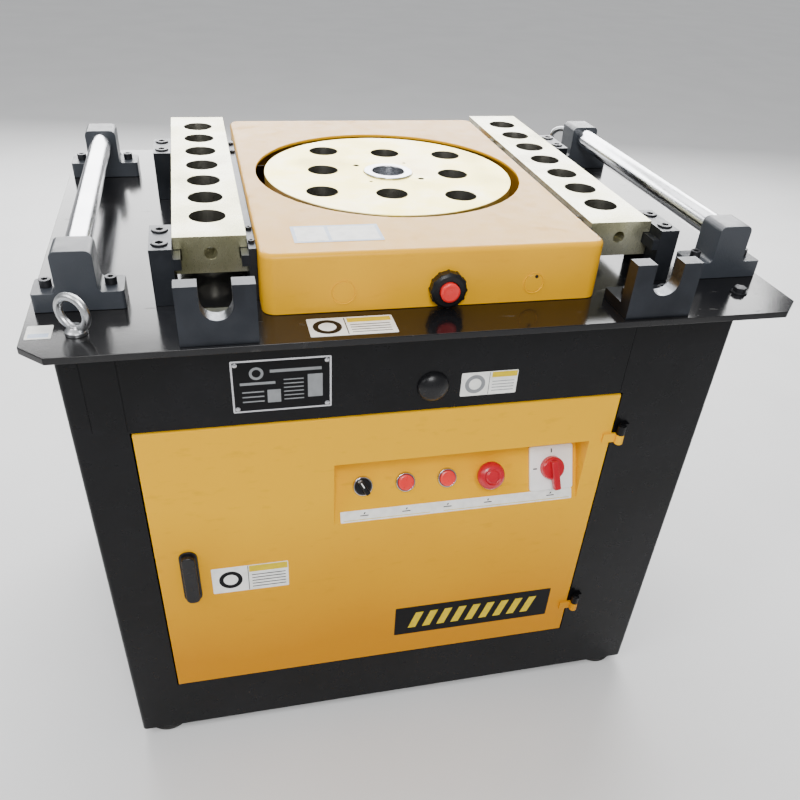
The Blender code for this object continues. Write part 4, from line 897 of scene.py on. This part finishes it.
label("header_label", (0.037, FRONT - 0.0002, TOP - 0.1225), UPRIGHT_FACE, (0.076, 0.0345), white_ink,
      [(0.041, 0.0255, 0.075, 0.0335, yellow_ink), (0.0375, 0.001, 0.0382, 0.0335, black_ink)]
      + rules(0.042, 0.004, 0.072, 0.022, 4, grey_ink), ring=(0.0190, 0.0172, 0.0135, grey_ink))
label("table_label", (-0.160, -0.357, TOP), 0, (0.100, 0.043), white_ink,
      [(0.0425, 0.002, 0.0437, 0.041, black_ink), (0.046, 0.030, 0.097, 0.040, yellow_ink)]
      + rules(0.048, 0.004, 0.094, 0.027, 4, black_ink), ring=(0.0215, 0.0215, 0.0165, black_ink))
label("cover_label", (-0.165, -0.267, cover_high.z), 0, (0.105, 0.051), blue_ink,
      [(0.044, 0.004, 0.101, 0.047, white_ink), (0.004, 0.004, 0.040, 0.047, white_ink)])
label("corner_label", (-0.460, -0.324, TOP), 0, (0.027, 0.031), white_ink,
      [(0.003, 0.003, 0.024, 0.012, blue_ink)])


# ---------------------------------------------------------------- door
# The door is a folded yellow tray hung on two knuckle hinges at its right. A tilted panel is let into it
# for the controls; the sheet's edge round that opening is rolled over. Its yellow is painted darker lower
# down, painted shade for the light falling off towards the door's foot.
DOOR_FRONT = FRONT - 0.002
DOOR_DEPTH = 0.016
DOOR_SHEET = 0.002
panel_low, panel_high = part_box("control_panel")
PANEL_WALL = 0.0018
LIP = 0.0005
door_corner = Vector((door_low.x, DOOR_FRONT, door_low.z))
door_far = Vector((DOOR_RIGHT, DOOR_FRONT + DOOR_DEPTH, door_high.z))
door = rounded(blank(door_corner, door_far), 0.0024, 3, lambda run, middle: middle.y < DOOR_FRONT + 0.0001)
door_inside = Vector((DOOR_SHEET, DOOR_SHEET, DOOR_SHEET))
door = bored(door, blank(door_corner + door_inside, door_far - door_inside + Vector((0, 0.02, 0))))
edge_fold = PANEL_WALL - LIP
latch_low, latch_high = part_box("latch_handle")
plate_low, plate_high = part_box("latch_plate")
LATCH_X = middle_of("latch_plate", "x")
LATCH_Z = plate_high.z - 0.015
door = bored(door, gathered(
    blank((panel_low.x + edge_fold, DOOR_FRONT - 0.02, panel_low.z + edge_fold),
          (panel_high.x - edge_fold, DOOR_FRONT + 0.006, panel_high.z - edge_fold)),
    bore(0.0075, LATCH_X, (DOOR_FRONT - 0.02, DOOR_FRONT + 0.02), LATCH_Z, 32)))
HINGE_X = 0.2795
HINGE_Y = -0.3205
KNUCKLE = 0.0060
door_leaves = []
for hinge_node in ("hinge_upper", "hinge_lower"):
    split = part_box(hinge_node)[1].z - 0.015
    door_leaves.append(bored(bore(KNUCKLE, HINGE_X, HINGE_Y, (split - 0.0150, split), 40),
                             bore(0.0034, HINGE_X, HINGE_Y, (split - 0.03, split + 0.01), 32)))
    door_leaves.append(blank((0.2560, DOOR_FRONT - 0.0042, split - 0.0145),
                             (HINGE_X - 0.0038, DOOR_FRONT + 0.0002, split - 0.0005)))
    pin = lathe([(0, split + 0.0165), (0.0030, split + 0.0160), (0.0044, split + 0.0150),
                 (KNUCKLE, split + 0.0148), (KNUCKLE, split + 0.0005), (0.0030, split + 0.0005),
                 (0.0030, split - 0.0160), (0, split - 0.0165)], 40, 0.0003)
    moved(pin, (HINGE_X, HINGE_Y, 0))
    wing = blank((HINGE_X + 0.0020, FRONT - 0.0060, split + 0.0010),
                 (HINGE_X + 0.0125, FRONT - 0.0002, split + 0.0145))
    piece(hinge_node + "_pin", gathered(pin, wing), black_enamel, "root", [hinge_node], 0.0004)
door_enamel = Finish("door_enamel")
# The yellow darkens and browns towards the bottom, with a little noise: painted shade for the light falling
# off down the door.
height = door_enamel.node("ShaderNodeSeparateXYZ", {}, {0: door_enamel.place()}, out=2)
painted_shade_low = door_enamel.spread(height + door_enamel.noise(6.0, 4.0) * 0.10, 0.22, 0.52, 1.0, 0.0)
door_scuff = door_enamel.spread(door_enamel.noise(34.0, 8.0, (1, 1, 3)), 0.60, 0.74)
door_tone = door_enamel.blend(painted_shade_low, (0.84, 0.43, 0.001, 1), (0.58, 0.235, 0.001, 1))
door_enamel.surface(
    door_enamel.noise(620.0, 2.0), 0.00006, Specular_IOR_Level=0.10,
    Base_Color=door_enamel.blend(door_scuff * 0.3, door_tone, (0.55, 0.25, 0.004, 1)),
    Roughness=door_enamel.spread(door_enamel.noise(60.0, 5.0), 0.3, 0.7, 0.30, 0.42) + door_scuff * 0.10)
piece("door", door, door_enamel.material, "door", ["door_panel"], 0.0005)
piece("door_knuckles", gathered(*door_leaves), door_enamel.material, "door", edge=0.0004)
dressed(door_enamel.material, "control_panel")

bar_marks = []
for mark_number in range(9):
    mark_left = 0.022 + mark_number * 0.024
    bar_marks.append((mark_left, 0.014, mark_left + 0.0125, 0.048, yellow_ink, 0.35))
label("door_marking", (-0.028, DOOR_FRONT, TOP - 0.572), UPRIGHT_FACE, (0.262, 0.062), black_ink, bar_marks,
      "door")
label("door_label", (-0.301, DOOR_FRONT, TOP - 0.425), UPRIGHT_FACE, (0.108, 0.049), white_ink,
      [(0.0505, 0.001, 0.0515, 0.048, black_ink), (0.0525, 0.036, 0.107, 0.048, yellow_ink)]
      + rules(0.056, 0.004, 0.104, 0.033, 5, black_ink), "door", (0.026, 0.0245, 0.0165, black_ink))


# ---------------------------------------------------------------- controls
# Panel controls sit in a row on the tilted face: a selector, forward and reverse push buttons in bright
# bezels, a mushroom stop and the mains isolator on its white plate. Contact blocks clip on behind.
PANEL_TILT = math.radians(25)
PANEL_LEAN = math.pi / 2 - PANEL_TILT
CONTROL_SLOPE = 0.052
OUTWARD = Vector((0, -math.cos(PANEL_TILT), math.sin(PANEL_TILT)))
chrome = metal("polished_chrome", (0.72, 0.73, 0.75), (0.66, 0.67, 0.70), 0.10, depth=0.00001)
white_plastic = plastic("white_plastic", (0.90, 0.90, 0.88), 0.38)
stop_red = plastic("stop_red_plastic", (0.45, 0.004, 0.016), 0.18, 0.3)
block_plastic = plastic("contact_block_plastic", (0.30, 0.31, 0.30), 0.48)


def panel_point(x, slope, rise=0.0):
    """A point of the tilted panel: slope runs up its face and rise stands out from it."""
    low_edge = Vector((x, DOOR_FRONT, panel_low.z + PANEL_WALL))
    return low_edge + Vector((0, math.sin(PANEL_TILT), math.cos(PANEL_TILT))) * slope + OUTWARD * rise


def on_panel(made, x, turn=0.0):
    """Put a shape built along Z on the panel at x, turned about its own axis."""
    made.transform(Matrix.Translation(panel_point(x, CONTROL_SLOPE)) @ Matrix.Rotation(PANEL_LEAN, 4, "X")
                   @ Matrix.Rotation(turn, 4, "Z"))
    return made


def bezel(name, node, rim, height, finish):
    """A bezel ring with its barrel through the panel; the plunger runs in its bore."""
    ring_shape = lathe([(0.0036, 0.0008), (rim - 0.0028, 0.0008), (rim - 0.0026, height),
                        (rim - 0.0012, height), (rim, height - 0.0018), (rim, 0.0003), (0.0110, 0.0003),
                        (0.0110, -0.0200), (0.0036, -0.0200)], 64, 0.0003)
    piece(name, on_panel(ring_shape, middle_of(node, "x")), finish, "door", [node])


def contact_block(name, x, half, top, bottom):
    """A moulded contact block with two terminal pockets cut in each side."""
    body_shape = rounded(blank((-half, -half, bottom), (half, half, top)), 0.0012, 2)
    cuts = []
    for row in (-0.45, 0.45):
        for edge_side in (-1, 1):
            cuts.append(blank((row * half - 0.0028, edge_side * half - 0.0030, bottom - 0.01),
                              (row * half + 0.0028, edge_side * half + 0.0030, bottom + 0.012)))
    piece(name, on_panel(bored(body_shape, gathered(*cuts)), x), block_plastic, "door")


bezel("selector_bezel", "selector_base", 0.0145, 0.0050, chrome)
for button in ("forward", "reverse"):
    button_x = middle_of(button + "_button_cap", "x")
    bezel(button + "_bezel", button + "_button_base", 0.0145, 0.0060, chrome)
    piece(button + "_cap", on_panel(push_cap(0.0113, 0.0092, 0.0052, 0.0032, 0.0120), button_x), red_plastic,
          button + "_button", [button + "_button_cap"])
bezel("estop_collar", "estop_base", 0.0150, 0.0080, yellow_enamel)
mushroom = lathe([(0, 0.0262), (0.0080, 0.0262), (0.0095, 0.0250), (0.0108, 0.0250), (0.0122, 0.0266),
                  (0.0150, 0.0258), (0.0180, 0.0236), (0.0200, 0.0200), (0.0205, 0.0170), (0.0200, 0.0146),
                  (0.0185, 0.0130), (0.0106, 0.0130), (0.0106, 0.0060), (0.0032, 0.0060), (0.0032, -0.0120),
                  (0, -0.0120)], 80, 0.0004)
piece("mushroom_stop", on_panel(mushroom, middle_of("estop_mushroom", "x")), stop_red, "estop",
      ["estop_mushroom"])
for control in ("selector_base", "forward_button_base", "reverse_button_base", "estop_base"):
    contact_block(control + "_contacts", middle_of(control, "x"), 0.014, -0.0200, -0.0460)

SELECTOR_TURN = math.radians(30)
selector_x = middle_of("selector_base", "x")
knob = lathe([(0, 0.0075), (0.0100, 0.0075), (0.0112, 0.0065), (0.0112, 0.0012), (0.0032, 0.0012),
              (0.0032, -0.0120), (0, -0.0120)], 56, 0.0004)
grip = rounded(blank((-0.0035, -0.0108, 0.0030), (0.0035, 0.0108, 0.0185)), 0.0016, 3)
piece("selector_grip", on_panel(gathered(knob, grip), selector_x, SELECTOR_TURN), black_plastic, "selector",
      ["selector_knob"])
pointer = rounded(blank((-0.0008, 0.0010, 0.0180), (0.0008, 0.0095, 0.0187)), 0.0002, 2)
piece("selector_pointer", on_panel(pointer, selector_x, SELECTOR_TURN), white_ink, "selector")

isolator_x = middle_of("isolator_plate", "x")
PLATE_HALF = 0.0335
plate = rounded(blank((-PLATE_HALF, -PLATE_HALF, 0.0003), (PLATE_HALF, PLATE_HALF, 0.0060)), 0.0035, 4,
                upright)
plate = bored(plate, bore(0.0036, 0, 0, (-0.01, 0.02), 32))
piece("isolator_face", on_panel(plate, isolator_x), white_plastic, "door",
      ["isolator_plate"], 0.0012)
contact_block("isolator_contacts", isolator_x, 0.021, -0.0080, -0.0400)
LEVER_TURN = math.radians(6)
isolator_disc = lathe([(0, 0.0150), (0.0150, 0.0160), (0.0170, 0.0140), (0.0180, 0.0065), (0.0032, 0.0065),
                       (0.0032, -0.0072), (0, -0.0072)], 72, 0.0005)
lever = rounded(blank((-0.0050, -0.0310, 0.0120), (0.0050, 0.0130, 0.0240)), 0.0022, 3)
piece("isolator_handle", on_panel(gathered(isolator_disc, lever), isolator_x, LEVER_TURN), stop_red,
      "isolator", ["isolator_knob"])
ticks = []
for tick_angle in (0, 90):
    tick = rounded(blank((-0.0009, 0.0225, 0.0058), (0.0009, 0.0285, 0.0063)), 0.0001, 1)
    tick.transform(Matrix.Rotation(math.radians(tick_angle), 4, "Z"))
    ticks.append(tick)
piece("isolator_ticks", on_panel(gathered(*ticks), isolator_x), black_ink, "door")

STRIP = (0.348, 0.0165)
strip_fields = [(0.004, 0.0022, 0.130, 0.0030, yellow_ink), (0.150, 0.0022, 0.344, 0.0030, yellow_ink)]
for control in ("selector_base", "forward_button_base", "reverse_button_base", "estop_base",
                "isolator_plate"):
    mark_x = middle_of(control, "x") + 0.117
    strip_fields.append((mark_x - 0.006, 0.0075, mark_x + 0.006, 0.0088, black_ink))
    strip_fields.append((mark_x - 0.001, 0.0105, mark_x + 0.001, 0.0130, black_ink, 0.5))
label("control_strip", panel_point(-0.117, 0.0006), PANEL_LEAN, STRIP, white_ink, strip_fields, "door")


# ---------------------------------------------------------------- latch
# A moulded lever on an escutcheon; its shaft passes the door and turns a flat cam behind the cabinet's
# edge.
escutcheon = rounded(blank(plate_low, plate_high), 0.0110, 6, deep)
escutcheon = bored(escutcheon, bore(0.0073, LATCH_X, (plate_low.y - 0.01, plate_high.y + 0.01), LATCH_Z, 32))
piece("escutcheon", escutcheon, black_plastic, "door", ["latch_plate"], 0.0008)
grip_back = plate_high.y - 0.0030
handle = rounded(blank((LATCH_X - 0.0095, latch_low.y, plate_low.z + 0.004),
                       (LATCH_X + 0.0095, grip_back, plate_high.z - 0.004)), 0.0080, 5,
                 deep)
rounded(handle, 0.0022, 3, lambda run, middle: middle.y < latch_low.y + 0.0001)
shaft = bore(0.0060, LATCH_X, (grip_back - 0.003, latch_high.y), LATCH_Z, 32)
cam = rounded(blank((LATCH_X - 0.0560, latch_high.y - 0.0030, LATCH_Z - 0.0080),
                    (LATCH_X + 0.0080, latch_high.y, LATCH_Z + 0.0080)), 0.0050, 3,
              deep)
piece("latch_lever", gathered(handle, shaft, cam), black_plastic, "latch", ["latch_handle"])


# ---------------------------------------------------------------- motor
# A finned, foot-mounted induction motor stands on a folded bracket: cast fins along the frame, an end
# shield in front, a pressed fan cowl behind and a terminal box on top.
motor_paint = paint("motor_grey_paint", (0.16, 0.19, 0.21), (0.22, 0.24, 0.25), 0.42, 0.0001, 0.0)
motor_low, motor_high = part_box("motor_body")
MOTOR_Y = middle_of("motor_pulley", "y")
MOTOR_Z = middle_of("motor_pulley", "z")
MOTOR_RADIUS = 0.090
FINS = 28
motor_frame = lathe([(0.0132, 0.270), (0.0800, 0.268), (0.0890, 0.255), (0.0890, 0.202), (0.0870, 0.200),
                     (0.0870, 0.192), (0.0800, 0.190), (0.0800, 0.032), (0.0880, 0.030), (0.0880, 0.014),
                     (0.0820, 0.010), (0.060, 0.006), (0.040, 0), (0.0132, 0)], 72, 0.0008)
motor_shapes = [motor_frame]
for fin in range(FINS):
    fin_shape = rounded(blank((0.0790, -0.0011, 0.033), (MOTOR_RADIUS - 0.0004, 0.0011, 0.189)), 0.0005, 1)
    fin_shape.transform(Matrix.Rotation(2 * math.pi * (fin + 0.5) / FINS, 4, "Z"))
    motor_shapes.append(fin_shape)
motor_axis = Matrix.Translation((motor_low.x, MOTOR_Y, MOTOR_Z)) @ Matrix.Rotation(math.pi / 2, 4, "Y")
for shape in motor_shapes:
    shape.transform(motor_axis)
foot_block = rounded(blank((motor_low.x + 0.030, MOTOR_Y - 0.075, motor_low.z),
                           (motor_high.x - 0.070, MOTOR_Y + 0.075, motor_low.z + 0.012)), 0.003, 2)
saddle = blank((motor_low.x + 0.034, MOTOR_Y - 0.045, motor_low.z + 0.006),
               (motor_high.x - 0.074, MOTOR_Y + 0.045, motor_low.z + 0.040))
terminal_box = rounded(blank((-0.120, MOTOR_Y - 0.045, MOTOR_Z + 0.070),
                             (-0.010, MOTOR_Y + 0.045, motor_high.z)), 0.004, 3)
terminal_lid = rounded(blank((-0.1195, MOTOR_Y - 0.0445, motor_high.z - 0.014),
                             (-0.0105, MOTOR_Y + 0.0445, motor_high.z - 0.0120)), 0.0005, 1)
piece("motor", gathered(*motor_shapes, foot_block, saddle, terminal_box, terminal_lid), motor_paint, "root",
      ["motor_body"])
cap_screws("terminal_box_screws", [(x, y, motor_high.z - 0.0003) for x in (-0.113, -0.017)
                                   for y in (MOTOR_Y - 0.038, MOTOR_Y + 0.038)], (0, 0, 1), 0.0035, 0.0022)


# ---------------------------------------------------------------- belt drive and gearbox
# Turned steel pulleys with lightening holes, a rubber V belt, and the worm gearbox under the table: a cast
# housing with cover bolts, a bronze wheel, a ground worm and the main shaft in two ring bearings.
cast_green = paint("cast_green_paint", (0.060, 0.105, 0.080), (0.10, 0.14, 0.11), 0.48, 0.00045, 0.0)
bronze = metal("machined_bronze", (0.62, 0.36, 0.12), (0.50, 0.29, 0.11), 0.30)
dressed(black_enamel, "motor_mount")
dressed(cast_green, "gearbox_housing")
dressed(bronze, "worm_wheel")
dressed(turned_steel, "main_shaft", "worm_shaft", "upper_bearing", "lower_bearing")
dressed(rubber.material, "drive_belt")
BELT_X = -0.310
for pulley_node, body, web_holes in (("driven_pulley", "worm", 6), ("motor_pulley", "motor_rotor", 0)):
    low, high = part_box(pulley_node)
    radius = (high.y - low.y) / 2
    centre = Vector((BELT_X, (low.y + high.y) / 2, (low.z + high.z) / 2))
    half = 0.014
    groove = [(radius, half), (radius, 0.0095), (radius - 0.014, 0.0050), (radius - 0.014, -0.0050),
              (radius, -0.0095), (radius, -half)]
    if web_holes:
        web = [(0.0153, half), (0.024, half), (0.026, 0.005), (radius - 0.022, 0.005), (radius - 0.018, half)]
        wheel = lathe(web + groove + [(place, -height) for place, height in reversed(web)], 96)
        cuts = []
        for number in range(web_holes):
            angle = 2 * math.pi * number / web_holes
            spot = Vector((0.047 * math.cos(angle), 0.047 * math.sin(angle), 0))
            cuts.append(bore(0.0130, spot.x, spot.y, (-0.02, 0.02), 40))
        wheel = bored(wheel, gathered(*cuts))
    else:
        reach = high.x - centre.x
        wheel = lathe([(0, reach), (0.012, reach), (0.012, half)] + groove + [(0, -half)], 96)
    piece(pulley_node.replace("pulley", "sheave"), aimed(wheel, centre, (1, 0, 0)), turned_steel, body,
          [pulley_node], 0.0005)
housing_low, housing_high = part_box("gearbox_housing")
flange_bolts = []
for bolt_x in (housing_low.x + 0.016, 0.0, housing_high.x - 0.016):
    flange_bolts.append((bolt_x, housing_low.y - 0.0001, housing_low.z + 0.030))
    flange_bolts.append((bolt_x, housing_low.y - 0.0001, housing_high.z - 0.030))
cap_screws("gearbox_bolts", flange_bolts, (0, -1, 0), 0.0065, 0.0060)


# ---------------------------------------------------------------- electrical box
# A sheet enclosure on the cabinet's back wall with a screwed lid and three cable glands underneath.
box_low, box_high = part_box("electrical_box")
enclosure = rounded(blank(box_low + Vector((0, 0.004, 0)), box_high), 0.004, 3)
lid = rounded(blank(box_low + Vector((0.002, 0, 0.002)),
                    (box_high.x - 0.002, box_low.y + 0.0045, box_high.z - 0.002)), 0.0018, 2)
piece("enclosure", gathered(enclosure, lid), motor_paint, "root", ["electrical_box"])
cap_screws("enclosure_screws", [(x, box_low.y + 0.0002, z) for x in (box_low.x + 0.012, box_high.x - 0.012)
                                for z in (box_low.z + 0.012, box_high.z - 0.012)], (0, -1, 0), 0.0042, 0.0025)
glands = []
for gland_x in (box_low.x + 0.040, (box_low.x + box_high.x) / 2, box_high.x - 0.040):
    gland = lathe([(0.0045, -0.020), (0.0075, -0.018), (0.0095, -0.012), (0.0095, -0.005), (0.0120, -0.004),
                   (0.0120, 0.0005), (0.0045, 0.0005)], 24, 0.0003)
    glands.append(moved(gland, (gland_x, (box_low.y + box_high.y) / 2, box_low.z)))
piece("cable_glands", gathered(*glands), black_plastic, "root")
